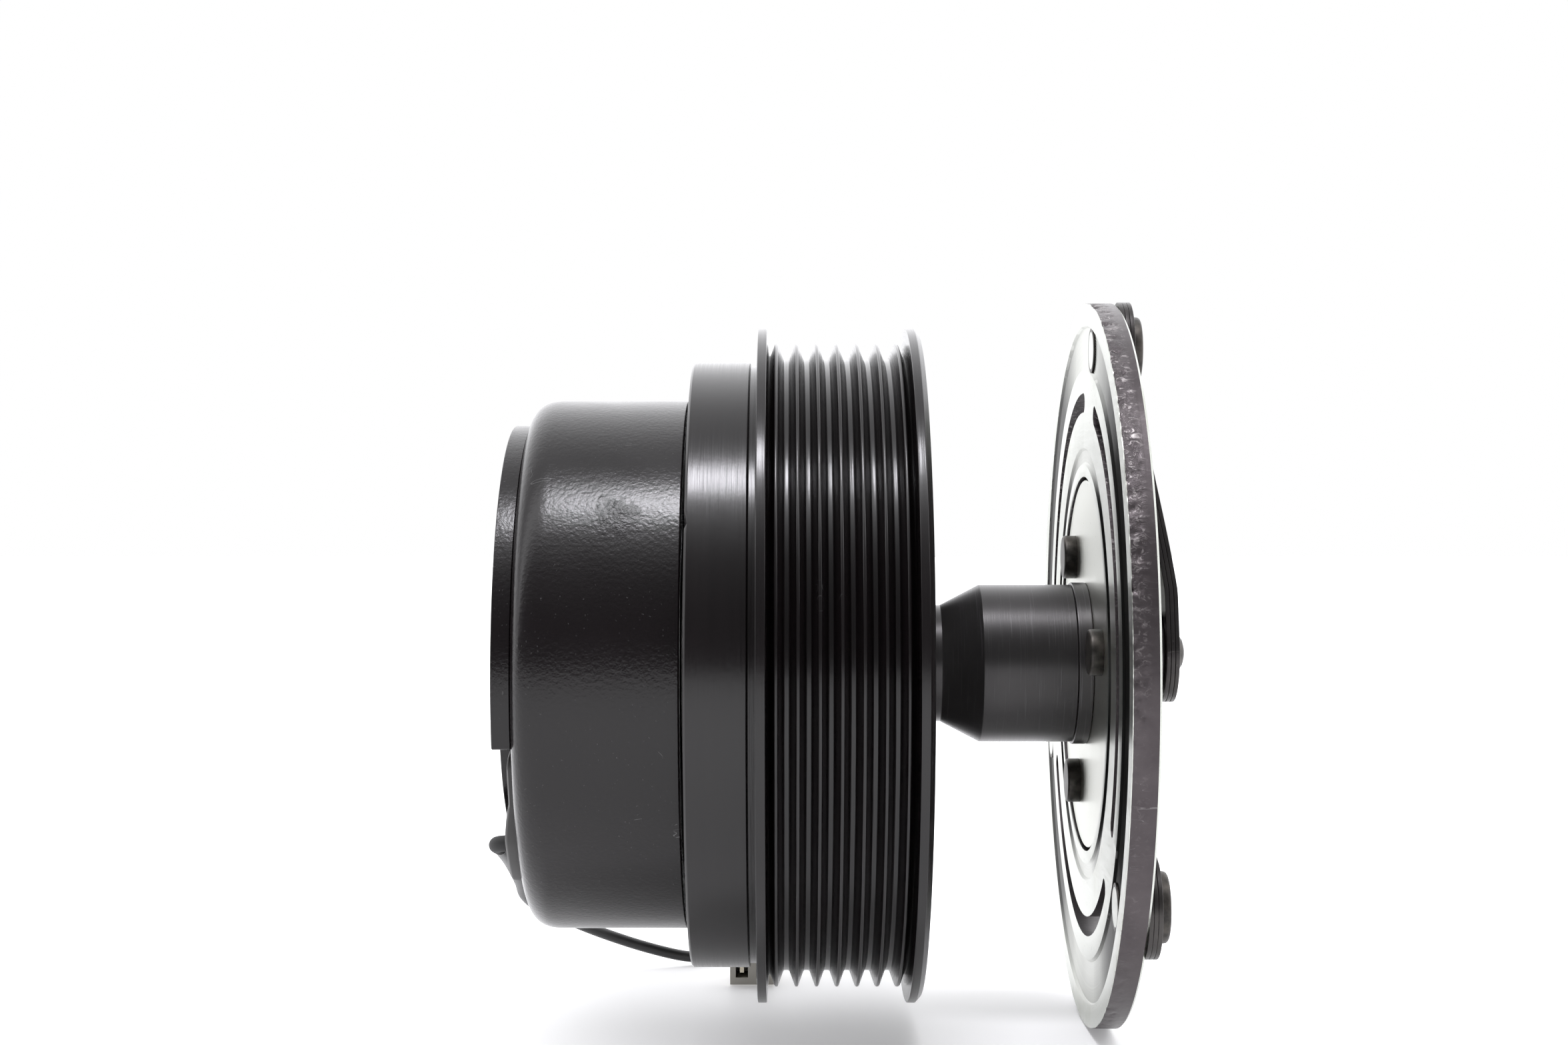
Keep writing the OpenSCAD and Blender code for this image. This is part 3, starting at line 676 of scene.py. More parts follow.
def make_piece(name, vertices, faces, materials, face_material=None, sharp=32):
    """A piece at the origin from points in millimetres, smooth except at edges over the sharp angle."""
    mesh = bpy.data.meshes.new(name)
    mesh.from_pydata([(x * MM, y * MM, z * MM) for x, y, z in vertices], [], faces)
    for material in materials:
        mesh.materials.append(material)
    if face_material is not None:
        mesh.polygons.foreach_set("material_index", face_material)
    piece = bpy.data.objects.new(name, mesh)
    bpy.context.collection.objects.link(piece)
    finish_mesh(piece, sharp)
    return piece


def finish_mesh(piece, sharp=32):
    """Smooth shading with sharp edges, and all faces turned outwards."""
    shell = bmesh.new()
    shell.from_mesh(piece.data)
    bmesh.ops.remove_doubles(shell, verts=shell.verts, dist=1e-7)
    bmesh.ops.recalc_face_normals(shell, faces=shell.faces)
    shell.to_mesh(piece.data)
    shell.free()
    piece.data.polygons.foreach_set("use_smooth", [True] * len(piece.data.polygons))
    piece.data.set_sharp_from_angle(angle=math.radians(sharp))
    weigh = piece.modifiers.new("normals", "WEIGHTED_NORMAL")
    weigh.weight = 100
    weigh.keep_sharp = True
    bake_modifiers(piece)


def bake_modifiers(piece):
    """Turns what the piece's modifiers make into its own plain mesh."""
    bpy.context.view_layer.update()
    graph = bpy.context.evaluated_depsgraph_get()
    made = bpy.data.meshes.new_from_object(piece.evaluated_get(graph))
    piece.modifiers.clear()
    piece.data = made


def soften(outline, radius, steps=4, special=None):
    """Rounds the corners of a closed outline; special gives other radii by corner number."""
    rounded = []
    count = len(outline)
    for i, corner in enumerate(outline):
        here = Vector(corner)
        back = Vector(outline[i - 1]) - here
        on = Vector(outline[(i + 1) % count]) - here
        angle = back.angle(on)
        wanted = (special or {}).get(i, radius)
        cut = min(wanted / max(math.tan(angle / 2), 1e-6), back.length * 0.45, on.length * 0.45)
        if wanted <= 0 or angle > math.radians(176):
            rounded.append(tuple(here))
            continue
        start, end = here + back.normalized() * cut, here + on.normalized() * cut
        for k in range(steps + 1):
            t = k / steps
            point = start * (1 - t) ** 2 + here * 2 * t * (1 - t) + end * t ** 2
            rounded.append(tuple(point))
    return rounded


def lathe(name, outline, materials, segments=240, sharp=32, ripple=None, pick=None):
    """A solid turned about the shaft from a closed outline of (radius, x) points.

    ripple(radius, x, angle) gives a changed (radius, x), and pick(radius, x) a material number.
    """
    count = len(outline)
    vertices = []
    for j in range(segments):
        angle = 2 * math.pi * j / segments
        for r, x in outline:
            if ripple:
                r, x = ripple(r, x, angle)
            vertices.append((x, -r * math.cos(angle), r * math.sin(angle)))
    faces = []
    numbers = []
    for j in range(segments):
        k = (j + 1) % segments
        for i in range(count):
            n = (i + 1) % count
            faces.append((j * count + i, j * count + n, k * count + n, k * count + i))
            if pick:
                middle_r = (outline[i][0] + outline[n][0]) / 2
                middle_x = (outline[i][1] + outline[n][1]) / 2
                numbers.append(pick(middle_r, middle_x))
    return make_piece(name, vertices, faces, materials, numbers if pick else None, sharp)


def polar_tree():
    """Geometry nodes that set copies of a piece around the shaft, realised as one mesh."""
    tree = bpy.data.node_groups.new("copies_around_shaft", "GeometryNodeTree")
    face = tree.interface
    face.new_socket("Piece", in_out="INPUT", socket_type="NodeSocketGeometry")
    face.new_socket("Count", in_out="INPUT", socket_type="NodeSocketInt")
    face.new_socket("First angle", in_out="INPUT", socket_type="NodeSocketFloat")
    face.new_socket("Finish", in_out="INPUT", socket_type="NodeSocketMaterial")
    face.new_socket("Copies", in_out="OUTPUT", socket_type="NodeSocketGeometry")
    nodes, links = tree.nodes, tree.links
    given = nodes.new("NodeGroupInput")
    result = nodes.new("NodeGroupOutput")
    points = nodes.new("GeometryNodeMeshLine")
    points.inputs["Offset"].default_value = (0, 0, 0)
    place = nodes.new("GeometryNodeInstanceOnPoints")
    number = nodes.new("GeometryNodeInputIndex")
    step = nodes.new("ShaderNodeMath")
    step.operation = "DIVIDE"
    step.inputs[0].default_value = -2 * math.pi
    turn = nodes.new("ShaderNodeMath")
    turn.operation = "MULTIPLY"
    total = nodes.new("ShaderNodeMath")
    total.operation = "SUBTRACT"
    spin = nodes.new("ShaderNodeCombineXYZ")
    real = nodes.new("GeometryNodeRealizeInstances")
    finish = nodes.new("GeometryNodeSetMaterial")
    links.new(given.outputs["Count"], points.inputs["Count"])
    links.new(given.outputs["Count"], step.inputs[1])
    links.new(number.outputs[0], turn.inputs[0])
    links.new(step.outputs[0], turn.inputs[1])
    links.new(turn.outputs[0], total.inputs[0])
    links.new(given.outputs["First angle"], total.inputs[1])
    links.new(total.outputs[0], spin.inputs[0])
    links.new(points.outputs[0], place.inputs["Points"])
    links.new(given.outputs["Piece"], place.inputs["Instance"])
    links.new(spin.outputs[0], place.inputs["Rotation"])
    links.new(place.outputs[0], real.inputs[0])
    links.new(real.outputs[0], finish.inputs["Geometry"])
    links.new(given.outputs["Finish"], finish.inputs["Material"])
    links.new(finish.outputs[0], result.inputs[0])
    return tree


AROUND_SHAFT = polar_tree()


def copies_around(piece, count, first_degrees, material):
    """Repeats a piece around the shaft, starting at an angle, and bakes the result."""
    modifier = piece.modifiers.new("copies", "NODES")
    modifier.node_group = AROUND_SHAFT
    sockets = AROUND_SHAFT.interface.items_tree
    keys = {item.name: item.identifier for item in sockets if item.in_out == "INPUT"}
    modifier[keys["Count"]] = count
    modifier[keys["First angle"]] = math.radians(first_degrees)
    modifier[keys["Finish"]] = material
    bake_modifiers(piece)
    return piece


def button(name, outline, material, at_r, segments=48):
    """A small turned piece, such as a rivet, with its axis along the shaft at radius at_r on the -Y side."""
    piece = lathe(name, outline, [material], segments)
    for vertex in piece.data.vertices:
        vertex.co.y -= at_r * MM
    return piece


def prism(name, outline, x0, x1, materials):
    """A flat plate between x0 and x1, from an outline in (y, z)."""
    count = len(outline)
    vertices = [(x, y, z) for x in (x0, x1) for y, z in outline]
    faces = [tuple(range(count)), tuple(range(2 * count - 1, count - 1, -1))]
    faces += [(i, (i + 1) % count, count + (i + 1) % count, count + i) for i in range(count)]
    return make_piece(name, vertices, faces, materials)


def circle_outline(y, z, r, count=48):
    """Points of a circle in (y, z)."""
    return [(y + r * math.cos(2 * math.pi * k / count), z + r * math.sin(2 * math.pi * k / count))
            for k in range(count)]


def cut_with(piece, cutters, bevel_mm, segments=2, operation="DIFFERENCE"):
    """Cuts each cutter out of a piece, or adds it, then breaks the edges, and bakes the result."""
    for cutter in cutters:
        modifier = piece.modifiers.new("cut", "BOOLEAN")
        modifier.operation = operation
        modifier.solver = "EXACT"
        modifier.material_mode = "TRANSFER" if cutter.data.materials else "INDEX"
        modifier.object = cutter
    bake_modifiers(piece)
    for cutter in cutters:
        bpy.data.objects.remove(cutter)
    if bevel_mm:
        edge = piece.modifiers.new("edge", "BEVEL")
        edge.width = bevel_mm * MM
        edge.segments = segments
        edge.limit_method = "ANGLE"
        edge.angle_limit = math.radians(40)
        bake_modifiers(piece)
    finish_mesh(piece)


def settle(piece, body, slot, *nodes):
    """Rides a finished piece on its body, in place of its CAD nodes."""
    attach(piece, body)
    if nodes:
        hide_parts(*nodes)


def keep_node(node, material):
    """Shows a CAD node as it is, with a finished material."""
    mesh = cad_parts[node].data
    mesh.materials.clear()
    mesh.materials.append(material)


# ---------------------------------------------------------------- the lead

def smooth_route(route, steps):
    """Catmull-Rom curve through the route's points."""
    path = []
    last = len(route) - 1
    for i in range(last):
        a, b, c, d = (Vector(route[max(0, min(last, i + k))]) for k in (-1, 0, 1, 2))
        for s in range(steps):
            t = s / steps
            path.append(0.5 * ((2 * b) + (c - a) * t + (2 * a - 5 * b + 4 * c - d) * t * t
                               + (3 * b - a - 3 * c + d) * t ** 3))
    path.append(Vector(route[-1]))
    return path


def tube(name, path, radii, material, sides=20):
    """A closed tube along a path of Vectors, in millimetres, with a radius at each point."""
    vertices = []
    for i, point in enumerate(path):
        along = (path[min(i + 1, len(path) - 1)] - path[max(i - 1, 0)]).normalized()
        side = along.cross(Vector((0, 0, 1))).normalized()
        up = side.cross(along)
        for k in range(sides):
            angle = 2 * math.pi * k / sides
            vertices.append(point + radii[i] * (math.cos(angle) * side + math.sin(angle) * up))
    faces = []
    for i in range(len(path) - 1):
        here, there = i * sides, (i + 1) * sides
        for k in range(sides):
            beside = (k + 1) % sides
            faces.append((here + k, here + beside, there + beside, there + k))
    faces.append(tuple(range(sides - 1, -1, -1)))
    faces.append(tuple((len(path) - 1) * sides + k for k in range(sides)))
    return make_piece(name, vertices, faces, [material], sharp=50)


def add_connector():
    """Two-way connector housing with a latch ramp and a narrower neck for the wire."""
    low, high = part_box("lead_connector")
    x0, y0, z0 = (v / MM for v in low)
    x1, y1, z1 = (v / MM for v in high)
    top = z1 - LATCH_H
    shell_end = y1 - PLUG_NECK_LEN
    middle = (x0 + x1) / 2

    def block(name, xs, ys, zs):
        corners = [(ys[0], zs[0]), (ys[1], zs[0]), (ys[1], zs[1]), (ys[0], zs[1])]
        return prism(name, corners, *xs, [FINISH["plug"]])

    shell = block("connector_housing", (x0, x1), (y0, shell_end), (z0, top))
    foot, heel, tip = y0 + 1.6, y0 + 7.4, y0 + 6.2
    ramp = [(foot, top - 0.5), (heel, top - 0.5), (heel, z1), (tip, z1), (foot, top + 0.1)]
    latch = prism("latch", ramp, middle - 1.8, middle + 1.8, [FINISH["plug"]])
    neck = block("neck", (x0 + 1.2, x1 - 1.2), (shell_end - 0.5, y1), (z0 + 0.5, top - 0.5))
    collar = block("collar", (x0, x1), (y0 + 9.6, y0 + 10.4), (z0, top + 0.35))
    cut_with(shell, [latch, neck, collar], 0.0, operation="UNION")
    cutters = []
    for centre in (middle - 2, middle + 2):
        walls = (centre - 1.2, centre + 1.2)
        cutters.append(block("cavity", walls, (y0 - 1, y0 + 7), (z0 + 1.4, top - 1.0)))
    for k in range(PLUG_GRIPS):
        start = y0 + 2 + PLUG_GRIP_PITCH * k
        for x in (x0 - 0.1, x1 - 0.3):
            cutters.append(block("grip", (x, x + 0.4), (start, start + 0.7), (z0 - 1, z1 + 1)))
    cut_with(shell, cutters, 0.18)
    settle(shell, "coil", "connector_plastic", "lead_connector")
    return shell


def add_lead():
    """The lead wire from the grommet, down behind the coil to its connector."""
    path = smooth_route(WIRE_ROUTE, 8)
    housing = add_connector()
    wire = tube("lead_wire_jacket", path, [WIRE_R] * len(path), FINISH["jacket"])
    settle(wire, "coil", "wire_jacket", "lead_wire")


add_lead()


# ---------------------------------------------------------------- field coil

def add_can():
    """Drawn steel can, with its open front's rim and a generous round at the back."""
    floor_x = can_rear + CAN_FLOOR
    inner, outer = CAN_BORE_R + CAN_WALL, can_r - CAN_WALL
    outline = [
        (CAN_BORE_R, can_rear), (can_r - 0.01, can_rear), (can_r, can_front), (outer, can_front),
        (outer, floor_x), (inner, floor_x), (inner, can_front), (CAN_BORE_R, can_front),
    ]
    outline = soften(outline, 0.35, 10, {1: CAN_ROUND, 0: 0.6})
    dense = []
    for i, point in enumerate(outline):
        dense.append(point)
        on = outline[(i + 1) % len(outline)]
        pieces = int(math.dist(point, on) // 3)
        for k in range(1, pieces):
            t = k / pieces
            dense.append((point[0] + (on[0] - point[0]) * t, point[1] + (on[1] - point[1]) * t))

    def draw_marks(r, x, angle):
        """The can is a drawn part, so its wall is very slightly uneven."""
        if r < outer + 0.5:
            return r, x
        point = Vector((x * 0.05, math.cos(angle) * 2.2, math.sin(angle) * 2.2))
        return r - CAN_UNEVEN * (1 + noise.noise(point)), x

    can = lathe("coil_can", dense, [FINISH["e_coat"]], 288, ripple=draw_marks)
    settle(can, "coil", "black_e_coat", "coil_housing")


def plate_outline():
    """Outline of the mounting plate in (y, z): a wide upper lobe on a smaller ring."""
    start = math.degrees(math.asin(-LOBE_CUT_Z / LOBE_R))
    ring_start = math.degrees(math.asin(-LOBE_CUT_Z / PLATE_RING_R))
    lobe = [math.radians(-start + (180 + 2 * start) * k / 120) for k in range(121)]
    low = [math.radians(180 + ring_start + (180 - 2 * ring_start) * k / 60) for k in range(61)]
    points = [(LOBE_R * math.cos(a), LOBE_R * math.sin(a)) for a in lobe]
    points += [(PLATE_RING_R * math.cos(a), PLATE_RING_R * math.sin(a)) for a in low]
    corners = {120: 2.2, 0: 2.2, 121: 1.5, 181: 1.5}
    return soften(points, 0.0, 5, corners)


def add_mounting_plate():
    """Stamped plate with its locating hole and screw holes, all edges slightly rolled."""
    plate = prism("coil_mounting_plate", plate_outline(), plate_rear, plate_front, [FINISH["e_coat"]])
    holes = [circle_outline(0, 0, LOCATING_R, 96)]
    holes += [circle_outline(*polar(angle, SCREW_CIRCLE_R), SCREW_HOLE_R) for angle in SCREW_ANGLES]
    cutters = [prism("hole", hole, plate_rear - 1, plate_front + 1, []) for hole in holes]
    cut_with(plate, cutters, 0.45, 3)
    settle(plate, "coil", "black_e_coat", "mounting_plate")


def add_lead_cover():
    """Moulded cover over the lead's way into the can: a thin tail that swells to a thick foot."""
    stations = 48
    profile = [(-1, 0), (-0.97, 0.7), (-0.8, 0.95), (0, 1), (0.8, 0.95), (0.97, 0.7), (1, 0)]
    vertices = []
    for i in range(stations + 1):
        t = i / stations
        angle = math.radians(COVER_START + COVER_SPAN * t)
        swell = 1 - min(1, max(0, (t - 0.42) / 0.3))
        swell = swell * swell * (3 - 2 * swell)
        end = min(1.0, math.sqrt(max(0.0, 1 - max(0.0, (t - 0.9) / 0.1) ** 2)) + 0.02)
        foot = min(1.0, 0.55 + 0.45 * math.sqrt(min(1.0, t / 0.06)))
        half = (2.7 + 1.5 * swell) * end * foot
        thick = (1.2 + 1.1 * swell) * (0.35 + 0.65 * end) * (0.8 + 0.2 * foot)
        for across, up in profile:
            r = COVER_R + half * across
            x = plate_front - thick * up
            vertices.append((x, -r * math.cos(angle), r * math.sin(angle)))
    n = len(profile)
    faces = [(i * n + k, i * n + k + 1, (i + 1) * n + k + 1, (i + 1) * n + k)
             for i in range(stations) for k in range(n - 1)]
    faces += [(i * n + n - 1, i * n, (i + 1) * n, (i + 1) * n + n - 1) for i in range(stations)]
    faces.append(tuple(range(n)))
    faces.append(tuple(stations * n + k for k in range(n - 1, -1, -1)))
    cover = make_piece("lead_cover_moulding", vertices, faces, [FINISH["cover"]], sharp=50)
    settle(cover, "coil", "moulded_black", "lead_cover")


def add_grommet():
    """Ribbed rubber grommet that turns the lead from the cover to run along the back."""
    slope = math.radians(LEAD_SLOPE)
    origin = Vector((0, *polar(LEAD_ANGLE, LEAD_R)))

    def carried(x, y):
        return origin + Vector((x, y * math.cos(slope), y * math.sin(slope)))

    path, radii = [carried(2.2, 0)], [GROMMET_R]
    for k in range(13):
        angle = math.radians(90 * k / 12)
        turned, run = 1 - math.sin(angle), 1 - math.cos(angle)
        path.append(carried(WIRE_X + GROMMET_BEND * turned, GROMMET_BEND * run))
        radii.append(GROMMET_R)
    for k in range(1, 25):
        t = k / 24
        path.append(carried(WIRE_X, GROMMET_BEND + GROMMET_LEN * t))
        ridge = 0.12 * (0.5 + 0.5 * math.cos(2 * math.pi * GROMMET_RIBS * t)) if t < 0.9 else 0.0
        radii.append(GROMMET_R - 0.3 * t - 0.1 + ridge)
    grommet = tube("lead_grommet_ribbed", path, radii, FINISH["rubber"], 28)
    settle(grommet, "coil", "black_rubber", "lead_grommet")


add_can()
add_mounting_plate()
add_lead_cover()
add_grommet()
keep_node("coil_bobbin", FINISH["bobbin"])
keep_node("coil_winding", FINISH["copper"])
keep_node("coil_potting", FINISH["resin"])
keep_node("connector_terminals", FINISH["tinned"])


# ---------------------------------------------------------------- pulley and bearing

def rib_points():
    """Outline of the belt grooves between the two flanges, from rear to front."""
    slant = GROOVE_DEPTH * math.tan(math.radians(20))
    middle = (REAR_FLANGE[1] + FRONT_FLANGE[0]) / 2
    first = middle - GROOVES * RIB_PITCH / 2
    low = RIB_R - GROOVE_DEPTH
    points = [(low, first - RIB_TIP_W / 2 - slant)]
    for i in range(GROOVES + 1):
        tip = first + i * RIB_PITCH
        points += [(RIB_R, tip - RIB_TIP_W / 2), (RIB_R, tip + RIB_TIP_W / 2)]
        if i < GROOVES:
            points += [(low, tip + RIB_TIP_W / 2 + slant), (low, tip + RIB_PITCH - RIB_TIP_W / 2 - slant)]
    points.append((low, first + GROOVES * RIB_PITCH + RIB_TIP_W / 2 + slant))
    return points


def add_rim():
    """Grooved rim with its rear ring and two belt flanges."""
    ribs = rib_points()
    outline = [
        (RIM_BORE_R, rim_rear + 0.5), (RIM_BORE_R + 0.5, rim_rear), (RING_R - 0.4, rim_rear),
        (RING_R, rim_rear + 0.4), (RING_R, rim_rear + 1.2),
        (RING_R, REAR_FLANGE[0] - 1.4), (RING_R - 0.7, REAR_FLANGE[0] - 1.4), (RING_R - 0.7, REAR_FLANGE[0]),
        (FLANGE_R, REAR_FLANGE[0]), (FLANGE_R, REAR_FLANGE[1]),
    ]
    rounded = {len(outline) + i: RIB_ROUND for i in range(len(ribs))}
    outline += ribs + [
        (FLANGE_R, FRONT_FLANGE[0]), (FLANGE_R, FRONT_FLANGE[1]), (FLANGE_R - 1.0, rim_front),
        (WEB_R, rim_front), (WEB_R, rim_front - WEB_SEAT), (RIM_BORE_R, rim_front - WEB_SEAT),
    ]
    nick_angle, nick_reach = math.radians(28.5), 1.2

    def handling_nick(r, x, angle):
        """A small knock on the rear ring's edge."""
        away = abs(angle - nick_angle) * RING_R
        if x < rim_rear + 0.45 and r > RING_R - 0.7 and away < nick_reach:
            return r - 0.2 * (nick_reach - away), x + 0.5 * (nick_reach - away)
        return r, x

    profile = soften(outline, 0.22, 4, rounded)
    rim = lathe("pulley_rim_turned", profile, [FINISH["pulley"]], 320, 30, handling_nick)
    settle(rim, "pulley", "pulley_black", "pulley_rim")


add_rim()
keep_node("rotor_core", FINISH["pulley"])
keep_node("bearing_inner_race", FINISH["bearing"])
keep_node("bearing_outer_race", FINISH["bearing"])
keep_node("ball_cage", FINISH["cage"])
keep_node("bearing_balls", FINISH["ball"])
keep_node("bearing_seal_front", FINISH["rubber"])
keep_node("bearing_seal_rear", FINISH["rubber"])
keep_node("bearing_snap_ring", FINISH["spring"])


# ---------------------------------------------------------------- hub

def add_hub():
    """Turned hub with its splined bore."""
    collar_x = flange_face - 2.7
    cone_rear, cone_front = hub_nose + 5.4, hub_nose + 12.5
    pocket_x = hub_nose + SHIM_POCKET[1]
    spline_end = pocket_x + SPLINE_LEN
    seat_x = hub_end - BOLT_SEAT_DEPTH
    outline = [
        (SHAFT_BORE_R, pocket_x), (SHIM_POCKET[0], pocket_x), (SHIM_POCKET[0], hub_nose), (NOSE_R, hub_nose),
        (NOSE_R, cone_rear), (HUB_R, cone_front), (HUB_R, collar_x - 0.15), (HUB_R - 0.12, collar_x),
        (COLLAR_R, collar_x), (COLLAR_R, flange_face), (SPIGOT_R, flange_face), (SPIGOT_R, hub_end),
        (BOLT_SEAT_R, hub_end), (BOLT_SEAT_R, seat_x), (PILOT_R, seat_x), (PILOT_R, spline_end),
        (SHAFT_BORE_R, spline_end),
    ]
    radii = {15: 0.0, 16: 0.0, 0: 0.0, 5: 0.5, 4: 0.4, 6: 0.0, 7: 0.0}

    def splined(r, x, angle):
        """Cuts the spline grooves into the bore's rear stretch."""
        if abs(r - SHAFT_BORE_R) < 0.001 and x <= spline_end + 0.001:
            share = (angle * SPLINES / (2 * math.pi)) % 1.0
            if 0.26 <= share < 0.74:
                return r + SPLINE_DEPTH, x
        return r, x

    hub = lathe("hub_turned", soften(outline, 0.3, 3, radii), [FINISH["oxide"]], SPLINES * 16, 30, splined)
    settle(hub, "hub", "black_oxide", "hub")


def add_hub_flange():
    """Bright disc fixed on the hub, inside the armature's hole."""
    outline = [
        (SPIGOT_R, flange_face), (hub_flange_r, flange_face),
        (hub_flange_r, flange_back), (SPIGOT_R, flange_back),
    ]
    disc = lathe("hub_flange_disc", soften(outline, 0.25, 3), [FINISH["disc"], FINISH["oxide"]], 240,
                 pick=lambda r, x: 1 if r > hub_flange_r - 0.02 else 0)
    settle(disc, "hub", "bright_steel", "hub_flange")


def add_hub_rivets():
    """Rivets that hold the springs: flat-ended tails towards the pulley, domed heads outside."""
    head_x = flange_back + SPRING_RISE + LEAVES * LEAF_PITCH
    tail_x = flange_face - HUB_RIVET_TAIL
    outline = [
        (0.0, tail_x), (TAIL_R, tail_x), (TAIL_R, flange_face), (SHANK_R, flange_face), (SHANK_R, head_x),
        (3.4, head_x), (3.25, head_x + 0.75), (2.3, head_x + 1.5), (1.1, head_x + 1.84), (0.0, head_x + 1.9),
    ]
    rounds = {0: 0, 1: 0.55, 2: 0, 3: 0, 4: 0, 5: 0.1, 9: 0}
    rivet = button("hub_rivet", soften(outline, 0.5, 4, rounds), FINISH["rivet"], HUB_RIVET_R)
    copies_around(rivet, 3, FIRST_HUB_RIVET, FINISH["rivet"])
    finish_mesh(rivet, 40)
    settle(rivet, "hub", "rivet_steel", "hub_rivets")


def add_spacers():
    """Round spacers that hold the springs' inner ends clear of the flange."""
    top = flange_back + SPRING_RISE
    outline = [(SHANK_R, flange_back), (SPACER_R, flange_back), (SPACER_R, top), (SHANK_R, top)]
    spacer = button("spring_spacer", soften(outline, 0.35, 3), FINISH["oxide"], HUB_RIVET_R)
    copies_around(spacer, 3, FIRST_HUB_RIVET, FINISH["oxide"])
    finish_mesh(spacer)
    settle(spacer, "hub", "black_oxide", "spring_spacers")


def add_leaf_spring(name, node, outer_angle):
    """Stack of spring leaves from the armature's rivet up to the hub's."""
    outer = polar(outer_angle, OUTER_RIVET_R)
    inner = polar(outer_angle + FIRST_HUB_RIVET - FIRST_OUTER_RIVET, HUB_RIVET_R)
    reach = inner - outer
    span = reach.length
    along = reach.normalized()
    across = Vector((-along.y, along.x))
    half = LEAF_W / 2
    stations = [-half + half * (1 - math.cos(math.pi / 2 * k / 10)) for k in range(10)]
    stations += [span * k / 40 for k in range(41)]
    stations += [span + half * math.sin(math.pi / 2 * k / 10) for k in range(1, 11)]
    vertices, faces = [], []
    for leaf in range(LEAVES):
        base = plate_back + leaf * LEAF_PITCH
        first = len(vertices)
        for s in stations:
            past = -s if s < 0 else max(0.0, s - span)
            width = max(0.02, math.sqrt(max(0.0, half * half - past * past)))
            t = min(1.0, max(0.0, (s - LEAF_END) / (span - 2 * LEAF_END)))
            eased = t + (t * t * (3 - 2 * t) - t) * 0.25
            x = base + SPRING_RISE * eased
            for side, lift in ((-1, 0), (1, 0), (1, LEAF_T), (-1, LEAF_T)):
                flat = outer + along * s + across * side * width
                vertices.append((x + lift, flat.x, flat.y))
        for i in range(len(stations) - 1):
            a = first + 4 * i
            faces += [(a + k, a + (k + 1) % 4, a + 4 + (k + 1) % 4, a + 4 + k) for k in range(4)]
        faces.append((first, first + 3, first + 2, first + 1))
        end = first + 4 * (len(stations) - 1)
        faces.append((end, end + 1, end + 2, end + 3))
    spring = make_piece(name, vertices, faces, [FINISH["spring"]], sharp=35)
    edge = spring.modifiers.new("edge", "BEVEL")
    edge.width = 0.12 * MM
    edge.segments = 2
    edge.limit_method = "ANGLE"
    edge.angle_limit = math.radians(50)
    bake_modifiers(spring)
    finish_mesh(spring, 35)
    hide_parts(node)
    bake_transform(spring)


add_hub()
add_hub_flange()
add_hub_rivets()
add_spacers()
add_leaf_spring("leaf_stack_top", "leaf_spring_top", FIRST_OUTER_RIVET)
add_leaf_spring("leaf_stack_near", "leaf_spring_near", FIRST_OUTER_RIVET - 120)
add_leaf_spring("leaf_stack_far", "leaf_spring_far", FIRST_OUTER_RIVET + 120)
keep_node("gap_shims", FINISH["bearing"])


# ---------------------------------------------------------------- armature

def slot_outline(middle):
    """Outline in (y, z) of one curved slot with round ends."""
    low, high = math.radians(middle - SLOT_SPAN / 2), math.radians(middle + SLOT_SPAN / 2)
    mid_r, half = (SLOT[0] + SLOT[1]) / 2, (SLOT[1] - SLOT[0]) / 2
    points = []
    for k in range(61):
        a = low + (high - low) * k / 60
        points.append((-SLOT[1] * math.cos(a), SLOT[1] * math.sin(a)))
    for k in range(1, 12):
        t = math.pi * k / 12
        r, shift = mid_r + half * math.cos(t), half * math.sin(t) / mid_r
        points.append((-r * math.cos(high + shift), r * math.sin(high + shift)))
    for k in range(60, -1, -1):
        a = low + (high - low) * k / 60
        points.append((-SLOT[0] * math.cos(a), SLOT[0] * math.sin(a)))
    for k in range(11, 0, -1):
        t = math.pi * k / 12
        r, shift = mid_r + half * math.cos(t), half * math.sin(t) / mid_r
        points.append((-r * math.cos(low - shift), r * math.sin(low - shift)))
    return points


def turned_groove(inner, outer, depth, ridges):
    """Outline of a face groove whose floor keeps the sharp ridges of a coarse turning feed."""
    low, high = inner + 0.3, outer - 0.3
    pitch = (high - low) / ridges
    floor_x = plate_face + depth
    points = [(inner, plate_face)]
    for k in range(ridges):
        points += [(low + k * pitch, floor_x), (low + (k + 0.5) * pitch, floor_x - 0.25 * pitch)]
    return points + [(high, floor_x), (outer, plate_face)]


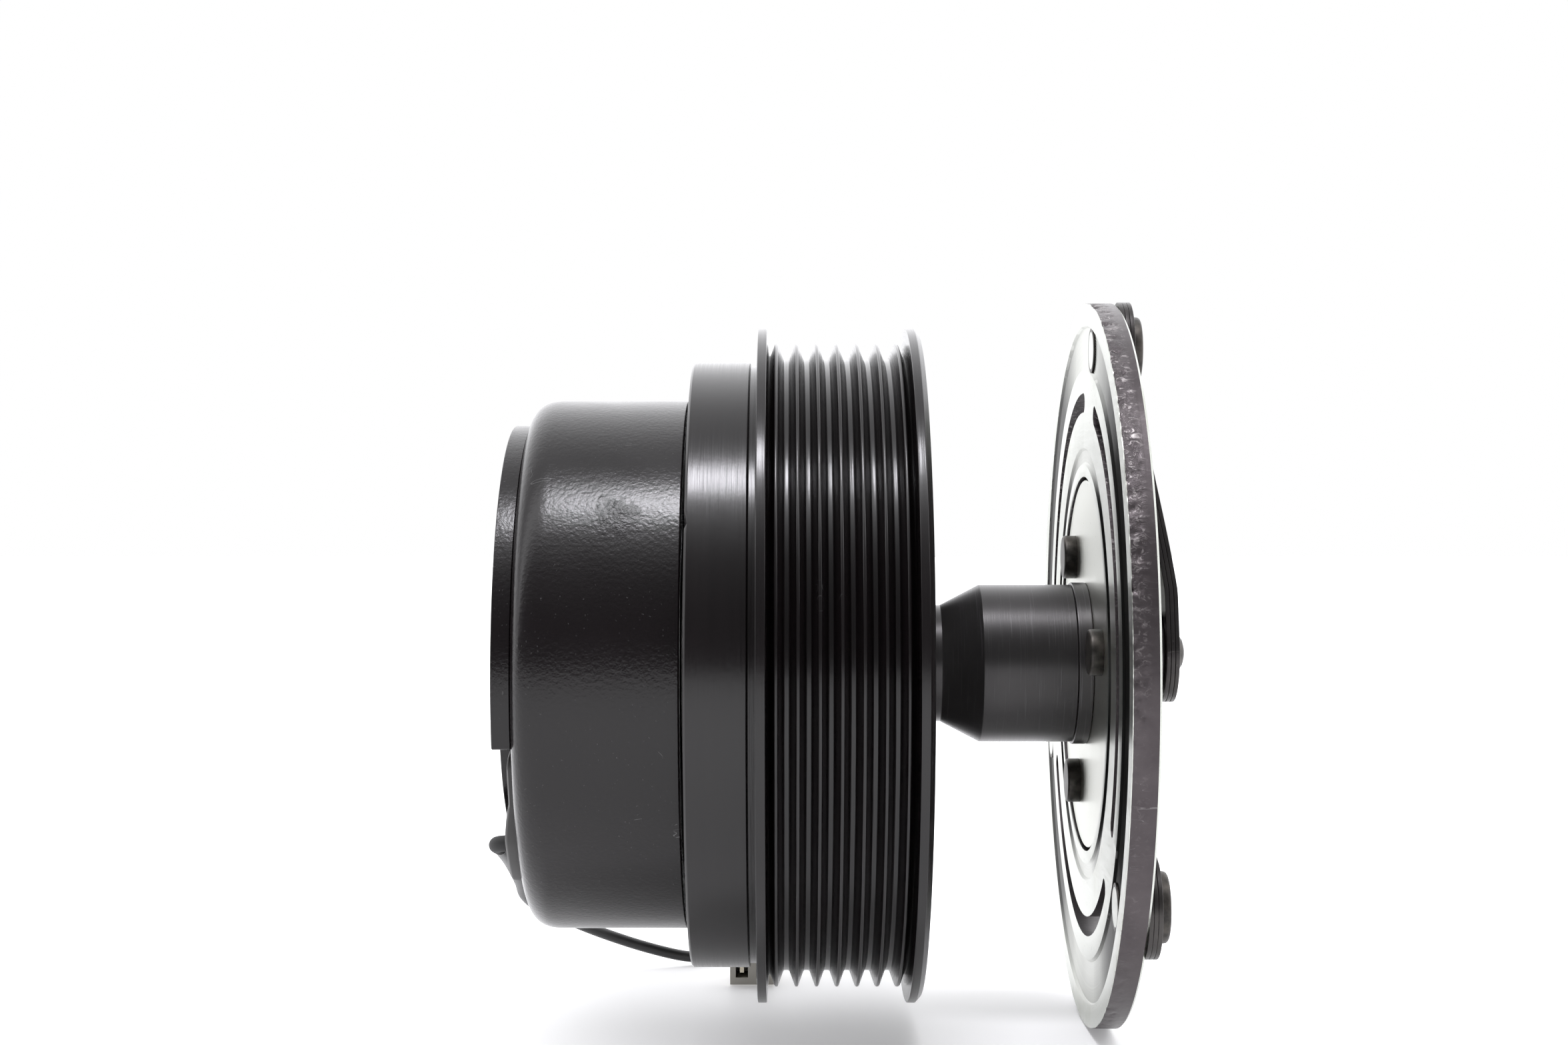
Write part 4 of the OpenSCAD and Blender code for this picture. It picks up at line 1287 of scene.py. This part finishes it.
def add_armature_plate():
    """Ground plate with ring grooves and curved slots, and the torn rim that shearing leaves."""
    rim_steps = 16
    thickness = plate_back - plate_face
    rim_x = [plate_face + 0.12 + (thickness - 0.5) * k / rim_steps for k in range(rim_steps + 1)]
    rim = [(ARMATURE_R, x) for x in rim_x]
    outline = [
        (ARMATURE_BORE_R, plate_face + 0.15), (ARMATURE_BORE_R + 0.15, plate_face),
    ] + turned_groove(*INNER_GROOVE, 5) + turned_groove(*OUTER_GROOVE, 16) + [
        (ARMATURE_R - 0.12, plate_face),
    ] + rim + [
        (ARMATURE_R - 0.4, plate_back), (ARMATURE_BORE_R + 0.15, plate_back),
        (ARMATURE_BORE_R, plate_back - 0.15),
    ]

    def torn(r, x, angle):
        """Shear tears on the rim: deep near the face, dying out towards the back and the lower side."""
        if r < ARMATURE_R - 0.01:
            return r, x
        depth_share = max(0.0, 1.0 - (x - plate_face) / (0.75 * thickness))
        upper = 0.35 + 0.65 * max(0.0, min(1.0, 0.6 + 1.4 * math.sin(angle)))
        depth_share = depth_share * depth_share * (3 - 2 * depth_share)
        around = ARMATURE_R * 1.25
        point = Vector((x * 1.1, math.cos(angle) * around, math.sin(angle) * around))
        clump = max(0.0, noise.noise(point * 0.45) + 0.25)
        tear = clump * (abs(noise.noise(point)) + 0.5 * abs(noise.noise(point * 1.9)))
        return r - TEAR_DEPTH * tear * (0.04 + 0.96 * depth_share) * upper, x

    def which(r, x):
        """0 for the ground face, 1 for the rim and the back, 2 for the grooves."""
        on_rim = r > ARMATURE_R - 0.05
        on_back = x > plate_back - 0.02 or (r < ARMATURE_BORE_R + 0.05 and x > plate_face + 0.2)
        in_groove = plate_face + 0.1 < x < plate_back - 0.3 and r > ARMATURE_BORE_R + 0.5
        return 1 if on_rim or on_back else (2 if in_groove else 0)

    finishes = [FINISH["ground"], FINISH["sheared"], FINISH["groove"]]
    plate = lathe("armature_disc", outline, finishes, 760, 30, torn, which)
    cutters = [prism("slot", slot_outline(FIRST_OUTER_RIVET + 60 + 120 * i), plate_face - 1, plate_back + 1,
                     [FINISH["sheared"]]) for i in range(3)]
    cut_with(plate, cutters, 0.0)
    settle(plate, "armature", "ground_steel", "armature_plate")


def add_armature_rivets():
    """Rivets through plate and springs: tails ground flush in the wide groove, pan heads outside."""
    head_x = plate_back + LEAVES * LEAF_PITCH
    head_r, head_h = PAN_HEAD
    tail_x = plate_face + 0.1
    floor_x = plate_face + OUTER_GROOVE[2]
    outline = [
        (0.0, tail_x), (TAIL_GROUND_R, tail_x), (TAIL_R, tail_x), (TAIL_R, floor_x), (SHANK_R, floor_x),
        (SHANK_R, head_x), (head_r, head_x), (head_r, head_x + head_h), (0.0, head_x + head_h),
    ]
    rounds = {0: 0, 1: 0, 2: 0.12, 3: 0, 4: 0, 5: 0, 6: 0.25, 7: 0.9, 8: 0}
    rivet = button("armature_rivet", soften(outline, 0.3, 4, rounds), FINISH["rivet"], OUTER_RIVET_R, 64)
    copies_around(rivet, 3, FIRST_OUTER_RIVET, FINISH["rivet"])
    finish_mesh(rivet, 40)
    rivet.data.materials.append(FINISH["ground"])
    for face in rivet.data.polygons:
        in_middle = len(face.vertices) == 3
        if face.center.x < (tail_x + 0.02) * MM and in_middle:
            face.material_index = len(rivet.data.materials) - 1
    settle(rivet, "armature", "rivet_steel", "armature_rivets")


add_armature_plate()
add_armature_rivets()
